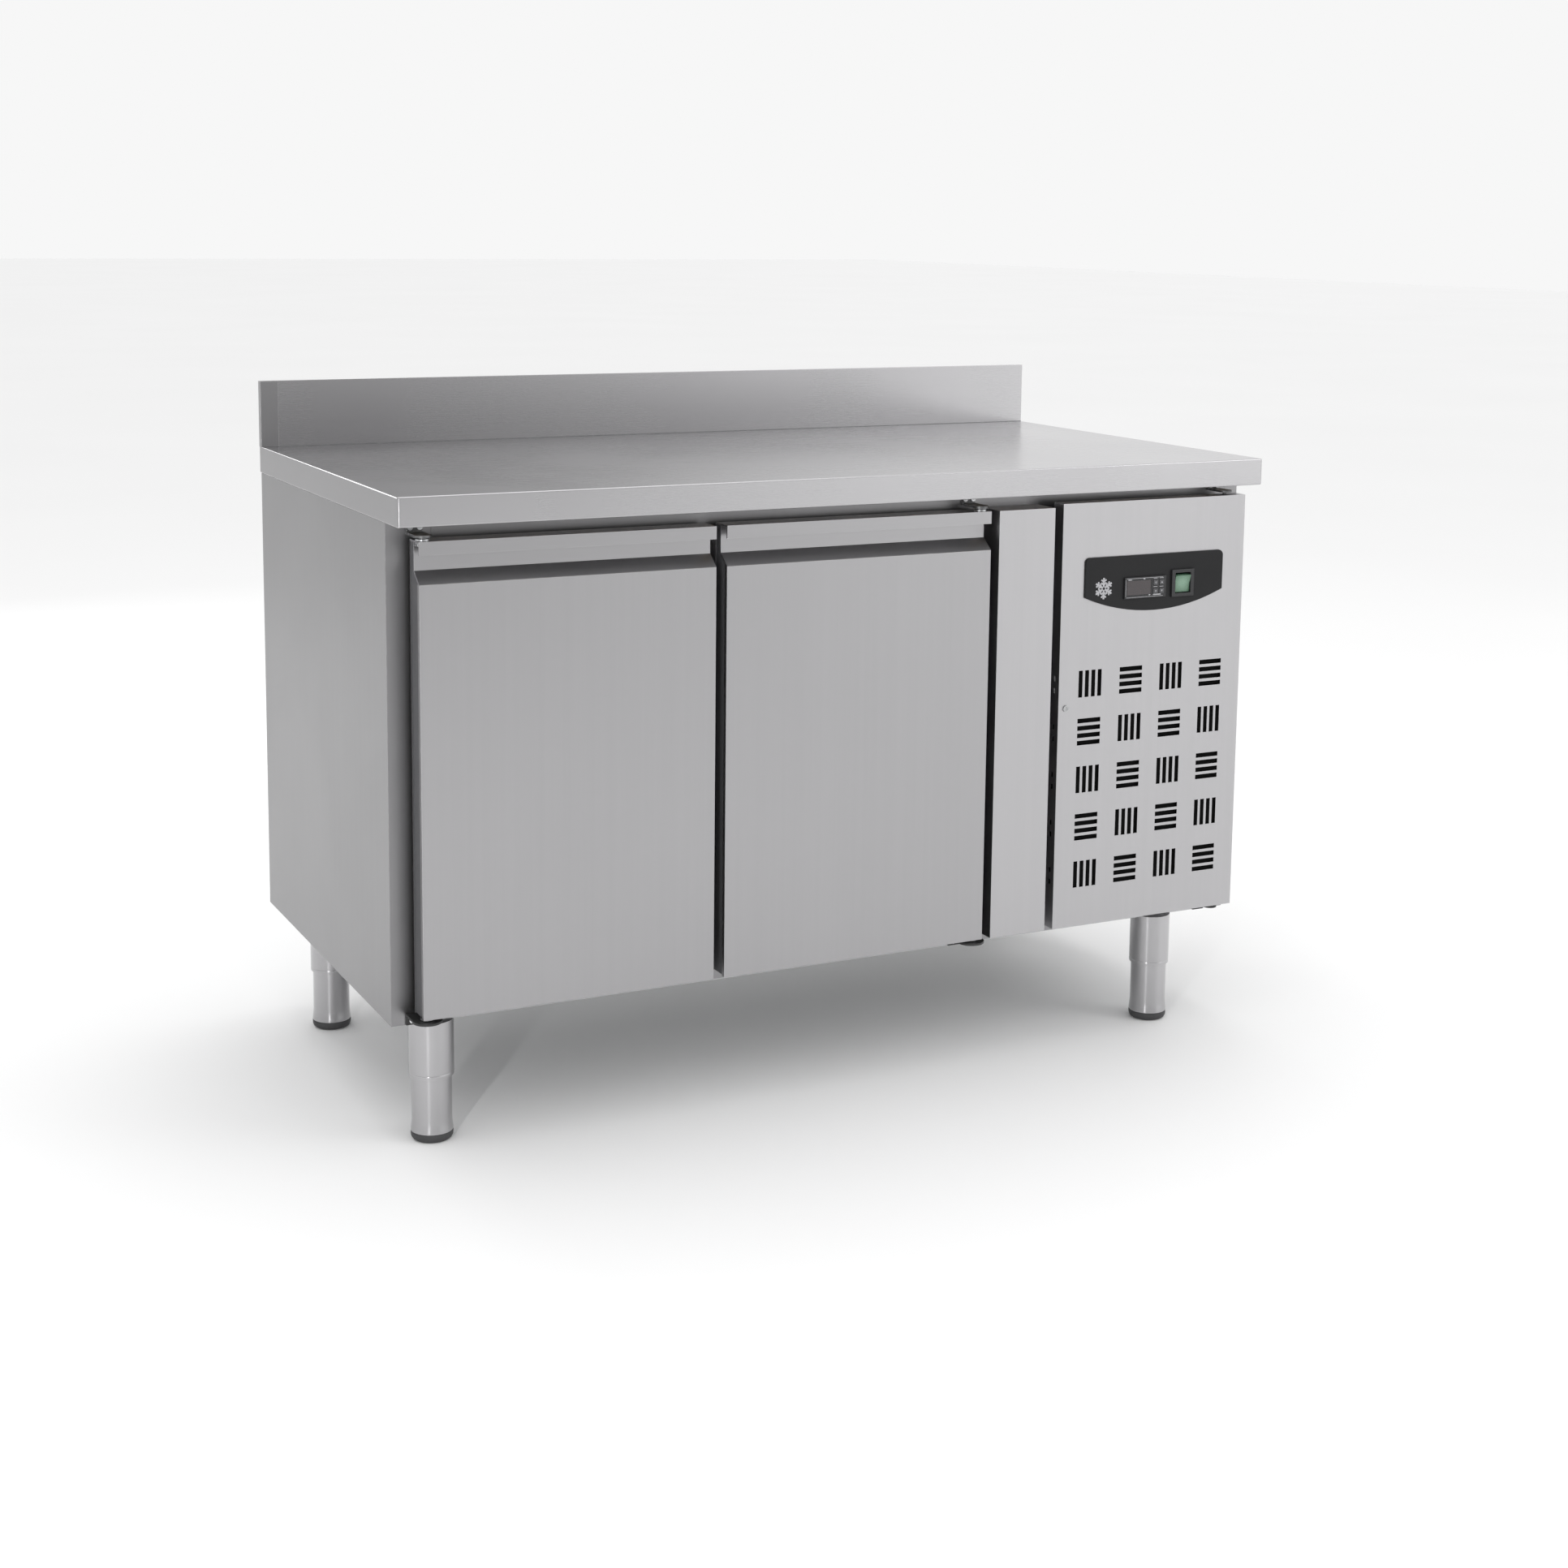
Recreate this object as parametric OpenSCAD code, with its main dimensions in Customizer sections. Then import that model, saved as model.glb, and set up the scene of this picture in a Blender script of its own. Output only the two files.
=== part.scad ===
// Undercounter refrigerator: two-door refrigerated counter with a machine compartment on the right.
// The origin is on the floor, midway between the worktop's sides and midway from its front to its back.
// +X is to the right of a person facing the doors, +Y points to the back and +Z up.

/* [Worktop] */
// Width of the worktop
top_w = 1360; // [1358:1:1362]
// Depth of the worktop, upstand included
top_d = 700; // [698:1:702]
// Height of the working surface above the floor
top_h = 886; // [880:1:900]
// Height of the worktop's folded edge
edge_h = 40; // [38:1:44]
// Height of the upstand above the working surface
upstand_h = 100; // [40:5:150]
// Thickness of the upstand
upstand_t = 12; // [8:1:20]
// Thickness of the worktop sheet
top_t = 1.2; // [1:0.1:2]

/* [Cabinet] */
// Height of the cabinet's underside above the floor
base_h = 169; // [164:1:180]
// Thickness of the cabinet's sheets
sheet = 1; // [0.8:0.1:1.2]
// Width of the left wall, from its skin to the storage space
wall_w = 62; // [61:1:63]
// Thickness of the insulated back wall
back_wall_t = 46; // [40:1:50]
// Height of the insulated floor
floor_t = 50; // [48:1:54]
// Height of the insulated ceiling
ceiling_t = 44; // [42:1:48]

/* [Doors] */
// Width of each door
door_w = 420; // [419:1:421]
// Thickness of a door's body, gasket left out
door_t = 38; // [36:1:40]
// Height of the lip that the hand pulls
lip_h = 18; // [14:1:20]
// Depth of the finger recess behind the door's face
recess_d = 21; // [18:1:23]
// Distance from the top of a door to the bottom of its slanted band
band_drop = 56; // [52:1:60]
// Distance of a hinge axis from the door's side
hinge_inset = 10; // [9.6:0.1:11]
// Radius of the hinge pins
hinge_pin_r = 4; // [3:0.5:4.5]

/* [Service panel] */
// Width of the service panel
service_w = 328; // [326:1:329]
// Columns of vents
vent_cols = 4; // [2:1:4]
// Rows of vents
vent_rows = 5; // [2:1:5]
// Distance between vents
vent_pitch = 72.8; // [60:0.2:74]
// Slots in one vent
slots_per_vent = 4; // [3:1:4]
// Width of a slot
slot_w = 7; // [4:0.1:8]
// Distance between slots
slot_pitch = 11.2; // [10:0.1:12]

/* [Legs] */
// Outer radius of a leg's sleeve
sleeve_r = 30.5; // [29.5:0.5:34]
// Outer radius of a foot's tube
foot_r = 27.3; // [25:0.1:27.5]
// Height of a sleeve's lower end above the floor
sleeve_z = 90; // [80:1:100]

/* [Hidden] */
$fn = 48;

steel = [0.72, 0.72, 0.72];
dark_steel = [0.55, 0.56, 0.57];
black = [0.08, 0.08, 0.08];
grey_plastic = [0.25, 0.25, 0.27];
foam = [0.93, 0.88, 0.7];
copper = [0.75, 0.45, 0.3];
aluminium = [0.8, 0.82, 0.84];

gap = 0.2;      // between neighbouring sheets
cut = 1;        // overshoot of a cutting shape

// Worktop
half_w = top_w / 2;
half_d = top_d / 2;
under_z = top_h - edge_h;
edge_return = 25;
corner_r = 3;

// Cabinet outline
side_x = half_w - 1;
frame_y = -290;
back_y = half_d - 5;
wall_x = -side_x + wall_w;
open_z0 = base_h + floor_t;
open_z1 = under_z - ceiling_t;
frame_d = 28;
frame_back_y = frame_y + frame_d;
liner_back_y = back_y - back_wall_t;
liner_right_x = 300;
partition_x = 345;
machine_x1 = side_x - 24;

// Front layout, from the left
face_y = -341;
door_x0_left = -650;
door_x1_left = door_x0_left + door_w;
door_x1_right = 206;
door_x0_right = door_x1_right - door_w;
blank_x0 = 220;
blank_x1 = 315;
service_x0 = 329;
service_x1 = service_x0 + service_w;
door_z0 = base_h + 20;
door_z1 = under_z - 20;
service_z1 = under_z - 15;

// Centre mullion
mullion_x0 = -245;
mullion_x1 = -199;
mullion_d = 55;
stile_x0 = 173;

// Doors
door_back_y = face_y + door_t;
hinge_y = face_y + 16;
hinge_x_left = door_x0_left + hinge_inset;
hinge_x_right = door_x1_right - hinge_inset;
gasket_w = 20;
gasket_gap = 0.3;
skin_return = 8;
profile_t = 2;
lip_t = 2.5;
recess_y = face_y + recess_d;
band_z = door_z1 - band_drop;
band_rise = 16;
bush_r = 6.5;
bush_flange_r = 9.5;
pin_clearance = 0.06;

// Hinge brackets
bracket_t = 3;
bracket_gap = 4;
upper_z = door_z1 + bracket_gap;
lower_z = door_z0 - bracket_gap;
lower_half = 19;
upper_half = 11;
panel_half = 10;
screw_sides = [-0.6, 0.6];
screw_r = 2;
screw_head_r = 3.6;

// Service panel
service_d = 25;
panel_hinge_x = 632;
panel_hinge_y = -322;
panel_pin_r = 3;
vent_z0 = 268.8;
vent_size = (slots_per_vent - 1) * slot_pitch + slot_w;
vent_x = (service_x0 + service_x1) / 2;
screw_x = 342;
screw_z = 525;

panel_bracket_z = service_z1 + 3;

// Control fascia
fascia_t = 3;
fascia_x0 = 369;
fascia_x1 = 617;
fascia_z1 = 749;
fascia_low_z = 664;
fascia_arc_r = 314;
fascia_corner_r = 8;
fascia_y = face_y - fascia_t;
thermo_x = 474;
thermo_z = 700;
thermo_w = 74;
thermo_h = 32;
thermo_body_w = 70;
thermo_body_h = 28;
thermo_proud = 3;
key_size = 8;
key_gap = 0.3;
key_x = [thermo_x + 18, thermo_x + 29];
key_z = [thermo_z - 6.5, thermo_z + 6.5];
lens_x0 = thermo_x - 33;
lens_x1 = thermo_x + 10;
lens_h = 22;
switch_x = 542;
switch_z = 703;
bezel_w = 40;
bezel_h = 41;
switch_body_w = 32;
switch_body_h = 34;
bezel_proud = 3.5;
rocker_w = 27;
rocker_h = 26;
rocker_y = face_y + 4;
rocker_tilt = 10;
trunnion_r = 1.5;
trunnion_reach = 15;

// Legs
leg_x = [-618, 556];
leg_y = [-272, 220];
sleeve_clearance = 0.08;
rod_r = 6;
rod_clearance = 0.07;
pad_h = 12;

// Shelves
shelf_z = 484;
shelf_w = 325;
shelf_d = 530;
shelf_y0 = -233;
rail_t = 1.5;
rail_w = 46;
rail_h = 20;
strip_t = 3;
strip_w = 20;
strip_y = [-200, 200];
cover_x = 188;
post_x = (mullion_x0 + mullion_x1) / 2;

// Evaporator chamber
fan_y = 20;
evap_fan_z = 650;
evap_fan_r = 74;
shaft_r = 4;

// Machine compartment
cond_x0 = 365;
cond_x1 = 655;
cond_y0 = -238;
cond_d = 58;
cond_z0 = base_h + 35;
cond_z1 = 495;
cond_fan_r = 98;
cond_fan_x = (cond_x0 + cond_x1) / 2;
cond_fan_z = (cond_z0 + cond_z1) / 2;
compressor_x = 430;
compressor_y = 190;
shell_r = 72;
shell_z0 = base_h + 40;
shell_z1 = shell_z0 + 110;
shell_dome_r = 100;
tray_x0 = 520;
gland_x = 620;
gland_z = 250;

// A block between two corners
module slab(x0, x1, y0, y1, z0, z1) {
    translate([x0, y0, z0]) cube([x1 - x0, y1 - y0, z1 - z0]);
}

// A flat rectangle with round corners, between two corners
module round_rect(x0, x1, y0, y1, r) {
    translate([x0 + r, y0]) square([x1 - x0 - 2 * r, y1 - y0]);
    translate([x0, y0 + r]) square([x1 - x0, y1 - y0 - 2 * r]);
    for (x = [x0 + r, x1 - r], y = [y0 + r, y1 - r]) translate([x, y]) circle(r);
}

// Stands a flat outline drawn in X and Z upright, with its front at y0
module upright(y0, y1) {
    translate([0, y1, 0]) rotate([90, 0, 0]) linear_extrude(y1 - y0) children();
}

// Runs an outline drawn in Y and Z along X
module along_x(x0, x1) {
    translate([x0, 0, 0]) rotate([90, 0, 90]) linear_extrude(x1 - x0) children();
}

// A cylinder along Y or X
module rod_y(x, z, y0, y1, r) { translate([x, y0, z]) rotate([-90, 0, 0]) cylinder(h = y1 - y0, r = r); }
module rod_x(y, z, x0, x1, r) { translate([x0, y, z]) rotate([0, 90, 0]) cylinder(h = x1 - x0, r = r); }
module rod_z(x, y, z0, z1, r) { translate([x, y, z0]) cylinder(h = z1 - z0, r = r); }

// A sheet tray: a block hollowed from behind
module tray_back(x0, x1, y0, y1, z0, z1, t) {
    difference() {
        slab(x0, x1, y0, y1, z0, z1);
        slab(x0 + t, x1 - t, y0 + t, y1 + cut, z0 + t, z1 - t);
    }
}

// A pan open at the top
module pan(x0, x1, y0, y1, z0, z1, t) {
    difference() {
        slab(x0, x1, y0, y1, z0, z1);
        slab(x0 + t, x1 - t, y0 + t, y1 - t, z0 + t, z1 + cut);
    }
}

// ---------------------------------------------------------------- worktop

module worktop() {
    color(steel) union() {
        difference() {
            translate([0, 0, under_z]) linear_extrude(edge_h)
                round_rect(-half_w, half_w, -half_d, half_d, corner_r);
            slab(-half_w + top_t, half_w - top_t, -half_d + top_t, half_d - top_t,
                under_z + top_t, top_h - top_t);
            slab(-half_w + edge_return, half_w - edge_return, -half_d + edge_return,
                half_d - edge_return, under_z - cut, under_z + 2 * top_t);
            upstand_hollow();
        }
        difference() {
            slab(-half_w, half_w, half_d - upstand_t, half_d, top_h, top_h + upstand_h);
            upstand_hollow();
        }
    }
}

module upstand_hollow() {
    slab(-half_w + top_t, half_w - top_t, half_d - upstand_t + top_t, half_d - top_t,
        top_h - 2 * top_t, top_h + upstand_h - top_t);
}

module worktop_core() {
    inset = top_t + 0.5;
    color("tan") slab(-half_w + inset, half_w - inset, -half_d + inset, half_d - inset,
        under_z + inset, top_h - inset);
}

// ---------------------------------------------------------------- cabinet

// One side skin with its front and back folds; the fold widths are measured from the side
module side_panel(front_fold, back_fold) {
    slab(-side_x, -side_x + sheet, frame_y, back_y, base_h, under_z);
    slab(-side_x, -side_x + front_fold, frame_y, frame_y + sheet, base_h, under_z);
    slab(-side_x, -side_x + back_fold, back_y - sheet, back_y, base_h, under_z);
}

module side_panel_left() {
    color(steel) side_panel(wall_w, 20);
}

module side_panel_right() {
    color(steel) mirror([1, 0, 0]) side_panel(side_x - machine_x1, 20);
}

module back_panel() {
    color(steel) slab(-side_x + sheet + gap, partition_x + sheet, back_y - 2 * sheet, back_y - sheet,
        base_h + sheet + gap, under_z - gap);
}

module base_panel() {
    color(steel) slab(-side_x + sheet + gap, side_x - sheet - gap, frame_y + sheet + gap,
        back_y - sheet - gap, base_h, base_h + sheet);
}

// A folded channel along X, open towards the back
module rail(z0, z1) {
    difference() {
        slab(wall_x + gap, machine_x1 - gap, frame_y, frame_back_y, z0, z1);
        slab(wall_x - cut, machine_x1 + cut, frame_y + sheet, frame_back_y + cut,
            z0 + sheet, z1 - sheet);
    }
}

module front_frame() {
    stile_z0 = open_z0 + gap;
    stile_z1 = open_z1 - gap;
    color(steel) {
        rail(base_h + sheet + gap, open_z0 - sheet - gap);
        rail(open_z1 + sheet + gap, under_z - gap);
        difference() {
            slab(stile_x0, partition_x, frame_y, frame_back_y, stile_z0, stile_z1);
            slab(stile_x0 + sheet, partition_x - sheet, frame_y + sheet, frame_back_y + cut,
                stile_z0 - cut, stile_z1 + cut);
        }
    }
}

module center_mullion() {
    y1 = frame_y + mullion_d;
    color(steel) difference() {
        slab(mullion_x0, mullion_x1, frame_y, y1, open_z0 + gap, open_z1 - gap);
        slab(mullion_x0 + sheet, mullion_x1 - sheet, frame_y + sheet, y1 - sheet,
            open_z0 - cut, open_z1 + cut);
    }
}

// Foam round the storage space, behind the frame and against every sheet
module insulation() {
    c = 0.4;
    x0 = wall_x - sheet - c;
    x1 = partition_x - c;
    z0 = base_h + sheet + c;
    z1 = under_z - c;
    color(foam) difference() {
        slab(-side_x + sheet + c, x1, frame_y + sheet + c, back_y - 2 * sheet - c, z0, z1);
        slab(x0, x1 + cut, frame_y - cut, frame_back_y + c, z0 - cut, z1 + cut);
        slab(x0, liner_right_x + c, frame_y - cut, liner_back_y + c,
            open_z0 - sheet - c, open_z1 + sheet + c);
    }
}

module inner_liner() {
    y0 = frame_y + sheet + gap;
    z0 = open_z0 + gap;
    z1 = open_z1 - gap;
    color(steel) {
        slab(wall_x - sheet, wall_x, y0, liner_back_y, open_z0 - sheet, open_z1 + sheet);
        slab(wall_x + gap, liner_right_x, y0, liner_back_y, open_z0 - sheet, open_z0);
        slab(wall_x + gap, liner_right_x, y0, liner_back_y, open_z1, open_z1 + sheet);
        slab(wall_x + gap, liner_right_x - sheet - gap, liner_back_y - sheet, liner_back_y, z0, z1);
        slab(liner_right_x - sheet, liner_right_x, frame_back_y + gap, liner_back_y, z0, z1);
    }
}

module machine_partition() {
    color(dark_steel) slab(partition_x, partition_x + sheet, frame_back_y + gap,
        back_y - 2 * sheet - gap, base_h + sheet + gap, under_z - gap);
}

module rear_grille() {
    x0 = partition_x + sheet + gap;
    x1 = side_x - sheet - gap;
    louvre_w = 120;
    louvre_pitch = 16;
    color(steel) difference() {
        slab(x0, x1, back_y - 2 * sheet, back_y - sheet, base_h + sheet + gap, under_z - gap);
        for (x = [x0 + 30, x1 - 30 - louvre_w], i = [0 : 17])
            slab(x, x + louvre_w, back_y - 10, back_y, 320 + i * louvre_pitch, 326 + i * louvre_pitch);
        rod_y(gland_x, gland_z, back_y - 10, back_y, 10.2);
    }
}

// The fixed cover in front of the evaporator
module blank_panel() {
    color(steel) tray_back(blank_x0, blank_x1, face_y, frame_y - 0.4, door_z0, door_z1, sheet);
}

// ---------------------------------------------------------------- shelves

// Slotted strip that carries the runners
module upright_strip(x, y) {
    difference() {
        slab(x, x + strip_t, y - strip_w / 2, y + strip_w / 2, open_z0 + 2, open_z1 - 2);
        for (z = [open_z0 + 40 : 50 : open_z1 - 40])
            slab(x - cut, x + strip_t + cut, y - 4, y + 4, z, z + 12);
    }
}

module shelf_uprights() {
    color(dark_steel) for (x = [wall_x + gap, post_x - strip_t / 2, cover_x - strip_t - gap], y = strip_y)
        upright_strip(x, y);
}

// An angle that holds one side of a shelf; dir is +1 where the shelf is on its right
module runner(x, dir) {
    y1 = shelf_y0 + shelf_d;
    x1 = x + dir * rail_w;
    slab(min(x, x1), max(x, x1), shelf_y0, y1, shelf_z - rail_t, shelf_z);
    slab(min(x, x + dir * rail_t), max(x, x + dir * rail_t), shelf_y0, y1, shelf_z - rail_t,
        shelf_z + rail_h);
}

left_bay = [wall_x + gap + strip_t + gap, post_x - strip_t / 2 - gap];
right_bay = [post_x + strip_t / 2 + gap, cover_x - strip_t - 2 * gap];

module shelf_runners() {
    color(steel) for (bay = [left_bay, right_bay]) {
        runner(bay[0], 1);
        runner(bay[1], -1);
    }
}

// A wire grid with a thick border, lying on its two runners; the thin wires are welded on top
module wire_shelf(bay) {
    border_r = 3;
    wire_r = 1.5;
    wires = 20;
    end = border_r + 0.6;
    x0 = (bay[0] + bay[1] - shelf_w) / 2 + end;
    x1 = x0 + shelf_w - 2 * end;
    y0 = shelf_y0 + border_r;
    y1 = y0 + shelf_d - 2 * border_r;
    z = shelf_z + border_r + 0.3;
    step = (y1 - y0) / (wires + 1);
    for (x = [x0, (2 * x0 + x1) / 3, (x0 + 2 * x1) / 3, x1]) rod_y(x, z, y0, y1, border_r);
    for (y = [y0, y1]) rod_x(y, z, x0 - end, x1 + end, border_r + 0.2);
    for (i = [1 : wires]) rod_x(y0 + i * step, z + border_r - 1, x0 + 0.5, x1 - 0.5, wire_r);
}

module shelf_left() { color(steel) wire_shelf(left_bay); }
module shelf_right() { color(steel) wire_shelf(right_bay); }

// ---------------------------------------------------------------- cooling

// A finned block: comb teeth on both long sides, standing along Z
module fin_block(w, d, h, pitch, tooth, groove) {
    n = floor(w / pitch);
    side = [for (i = [0 : n - 1], p = [[0, 0], [tooth, 0], [tooth, groove], [pitch, groove]])
        [i * pitch + p[0], p[1]]];
    back = [for (i = [len(side) - 1 : -1 : 0]) [side[i][0], d - side[i][1]]];
    linear_extrude(h) polygon(concat(side, back));
}

module evaporator() {
    x0 = 200;
    y0 = -190;
    z0 = 250;
    w = 420;
    d = 90;
    h = 230;
    color(aluminium) translate([x0 + d, y0, z0]) rotate([0, 0, 90]) fin_block(w, d, h, 8, 4, 6);
    color(copper) for (z = [z0 + 40 : 50 : z0 + h - 40], x = [x0 + 25, x0 + d - 25])
        rod_y(x, z, y0 - 14, y0 + cut, 5);
}

module evaporator_cover() {
    y0 = frame_back_y + gap;
    y1 = liner_back_y - sheet - gap;
    slot = 9;
    color(steel) difference() {
        slab(cover_x, cover_x + top_t, y0, y1, open_z0 + gap, open_z1 - gap);
        for (i = [-4 : 4]) {
            half = sqrt(pow(evap_fan_r, 2) - pow(i * 15, 2)) - 2;
            slab(cover_x - cut, cover_x + 2 * top_t, fan_y - half, fan_y + half,
                evap_fan_z + i * 15 - slot / 2, evap_fan_z + i * 15 + slot / 2);
        }
        for (i = [0 : 5]) slab(cover_x - cut, cover_x + 2 * top_t, -160, 200, 250 + i * 30, 262 + i * 30);
    }
}

// An axial fan's rotor: hub and tilted blades round the Z axis
module rotor(r, hub_r, h, blades) {
    blade_t = 2;
    difference() {
        union() {
            cylinder(h = h, r = hub_r);
            intersection() {
                cylinder(h = h, r = r);
                for (i = [0 : blades - 1]) rotate([0, 0, i * 360 / blades]) translate([hub_r / 2, 0, h / 2])
                    rotate([28, 0, 0]) translate([0, -r / 3, -blade_t / 2]) cube([r, r * 2 / 3, blade_t]);
            }
        }
        translate([0, 0, 6]) cylinder(h = h, r = shaft_r + pin_clearance);
    }
}

// A fan motor round the Z axis, facing down, on four arms that reach forward past the rotor
module fan_motor(r, body_h, reach, arm_r) {
    cylinder(h = body_h, r = 28);
    translate([0, 0, body_h - cut]) cylinder(h = 8, r = 14);
    translate([0, 0, -12]) cylinder(h = 12 + cut, r = shaft_r);
    for (a = [45 : 90 : 315]) rotate([0, 0, a]) {
        translate([0, -4, 10]) cube([arm_r + 4, 8, 3]);
        translate([arm_r, -4, -reach]) cube([4, 8, reach + 13]);
    }
}

module evaporator_fan() {
    color(black) translate([cover_x + 6, fan_y, evap_fan_z]) rotate([0, 90, 0])
        rotor(evap_fan_r, 22, 20, 5);
}

module condenser_fan() {
    color(black) translate([cond_fan_x, cond_y0 + cond_d + 8, cond_fan_z]) rotate([-90, 0, 0])
        rotor(cond_fan_r, 28, 24, 5);
}

module fan_motors() {
    color(dark_steel) {
        translate([cover_x + 28, fan_y, evap_fan_z]) rotate([0, 90, 0])
            fan_motor(evap_fan_r, 45, 28 - top_t - gap, evap_fan_r + 6);
        translate([cond_fan_x, cond_y0 + cond_d + 34, cond_fan_z]) rotate([-90, 0, 0])
            fan_motor(cond_fan_r, 55, 34 - top_t - gap, cond_fan_r + 6);
    }
}

module drip_tray() {
    color(aluminium) {
        pan(194, 296, -210, 255, open_z0 + 6, open_z0 + 26, 1.5);
        rod_z(245, 200, open_z0 + 1, open_z0 + 7, 9);
    }
}

module condenser() {
    w = cond_x1 - cond_x0;
    plate_y = cond_y0 + cond_d;
    foot_z = base_h + 2;
    color(aluminium) translate([cond_x0, cond_y0, cond_z0])
        fin_block(w, cond_d, cond_z1 - cond_z0, 7.25, 3, 8);
    color(dark_steel) {
        difference() {
            slab(cond_x0, cond_x1, plate_y - 0.5, plate_y + top_t, foot_z, cond_z1);
            rod_y(cond_fan_x, cond_fan_z, plate_y - cut, plate_y + 5, cond_fan_r + 2);
        }
        for (x = [cond_x0, cond_x1 - 12]) slab(x, x + 12, cond_y0, plate_y, foot_z, cond_z0 + cut);
    }
    color(copper) for (x = [cond_x0 + 15, cond_x1 - 15])
        rod_z(x, cond_y0 + cond_d / 2, cond_z1 - cut, cond_z1 + 15, 5);
}

module compressor() {
    plate_z = base_h + 20;
    dome_z = sqrt(pow(shell_dome_r, 2) - pow(shell_r, 2));
    color(black) translate([compressor_x, compressor_y, 0]) {
        rod_z(0, 0, shell_z0, shell_z1, shell_r);
        intersection() {
            rod_z(0, 0, shell_z1 - cut, shell_z1 + shell_dome_r, shell_r);
            translate([0, 0, shell_z1 - dome_z]) sphere(shell_dome_r, $fn = 96);
        }
        rod_z(0, 0, shell_z0 + 52, shell_z0 + 56, shell_r + 2.5);
        slab(-74, 74, -50, 50, plate_z, plate_z + 3);
        rod_z(0, 0, plate_z + 2, shell_z0 + cut, 50);
        for (x = [-60, 60], y = [-38, 38]) rod_z(x, y, base_h + sheet + gap, plate_z + cut, 10);
        slab(-30, 30, shell_r - 12, shell_r + 30, shell_z0 + 10, shell_z0 + 80);
        rod_x(0, shell_z0 + 65, shell_r - 5, shell_r + 12, 6);
        rod_y(0, shell_z0 + 85, -shell_r - 12, -shell_r + 5, 8);
    }
}

// A pipe through a list of points, with a socket at each bend
module pipe(points, r) {
    for (i = [1 : len(points) - 1]) {
        step = points[i] - points[i - 1];
        length = norm(step);
        translate(points[i - 1]) rotate([0, acos(step[2] / length), atan2(step[1], step[0])])
            cylinder(h = length, r = r);
    }
    if (len(points) > 2) for (i = [1 : len(points) - 2]) translate(points[i]) sphere(r * 1.3);
}

module refrigerant_pipes() {
    stub_y = cond_y0 + cond_d / 2;
    stub_z = cond_z1 + 15 + gap;
    out_x = compressor_x + shell_r + 12 + gap;
    out_z = shell_z0 + 65;
    in_z = shell_z0 + 85;
    in_y = compressor_y - shell_r - 12 - gap;
    wall = partition_x + sheet + gap;
    liquid_x = cond_x0 + 15;
    liquid_z = stub_z + 13;
    color(copper) {
        pipe([[out_x, compressor_y, out_z], [580, compressor_y, out_z], [580, compressor_y, liquid_z],
            [580, stub_y, liquid_z], [cond_x1 - 15, stub_y, liquid_z], [cond_x1 - 15, stub_y, stub_z]], 4);
        pipe([[liquid_x, stub_y, stub_z], [liquid_x, stub_y, liquid_z], [liquid_x, 60, liquid_z],
            [wall, 60, liquid_z]], 3);
        rod_y(liquid_x, liquid_z, -100, 10, 14);
        pipe([[compressor_x, in_y, in_z], [compressor_x, 80, in_z], [compressor_x, 80, 570],
            [wall, 80, 570]], 6);
    }
}

module condensate_tray() {
    color(grey_plastic) pan(tray_x0, 668, 70, 325, base_h + sheet + gap, base_h + 32, 2);
}

module electrical_box() {
    x0 = partition_x + sheet + gap;
    color(grey_plastic) {
        slab(x0, x0 + 80, -60, 140, 620, 780);
        slab(x0 + 79, x0 + 88, -63, 143, 617, 783);
        for (y = [-20, 40, 100]) rod_z(x0 + 40, y, 604, 621, 9);
    }
}

module gland_nut(y, h) {
    translate([gland_x, y, gland_z]) rotate([-90, 0, 0]) cylinder(h = h, r = 13, $fn = 6);
}

module cable_gland() {
    color(black) difference() {
        union() {
            rod_y(gland_x, gland_z, back_y - 22, half_d - 1, 10);
            gland_nut(back_y - sheet + gap, 3);
            gland_nut(back_y - 9, 6.5);
        }
        rod_y(gland_x, gland_z, back_y - 23, half_d + cut, 4.5);
    }
}

// ---------------------------------------------------------------- hinges and fasteners

// The foot and the top of a bracket's tab; upper tabs rise from the plate and lower ones hang
function tab_span(plate_z, is_upper) =
    is_upper ? [plate_z, under_z - 1] : [base_h + 0.5, plate_z + bracket_t];

// The height of a bracket's screws, in the middle of what its plate leaves of the tab
function tab_screw_z(plate_z, is_upper) =
    is_upper ? (plate_z + bracket_t + under_z - 1) / 2 : (base_h + 0.5 + plate_z) / 2;

// A round-nosed plate under or over a pin, with a folded tab that two screws hold to the frame
module bracket(pin, half, plate_z, is_upper) {
    y1 = frame_y - gap;
    x = pin[0];
    tab = tab_span(plate_z, is_upper);
    difference() {
        union() {
            rod_z(x, pin[1], plate_z, plate_z + bracket_t, half + 1);
            slab(x - half, x + half, pin[1], y1, plate_z, plate_z + bracket_t);
            slab(x - half, x + half, y1 - bracket_t, y1, tab[0], tab[1]);
        }
        for (s = screw_sides) rod_y(x + s * half, tab_screw_z(plate_z, is_upper), y1 - 10, y1 + cut,
            screw_r + 0.1);
    }
}

// Where the pins stand
door_pins = [[hinge_x_left, hinge_y], [hinge_x_right, hinge_y]];
panel_pin = [panel_hinge_x, panel_hinge_y];

module hinge_brackets_upper() {
    color(dark_steel) {
        for (pin = door_pins) {
            bracket(pin, upper_half, upper_z, true);
            rod_z(pin[0], pin[1], upper_z - 14, upper_z + cut, hinge_pin_r);
        }
        bracket(panel_pin, panel_half, panel_bracket_z, true);
        rod_z(panel_pin[0], panel_pin[1], service_z1 - 6, panel_bracket_z + cut, panel_pin_r);
    }
}

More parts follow.
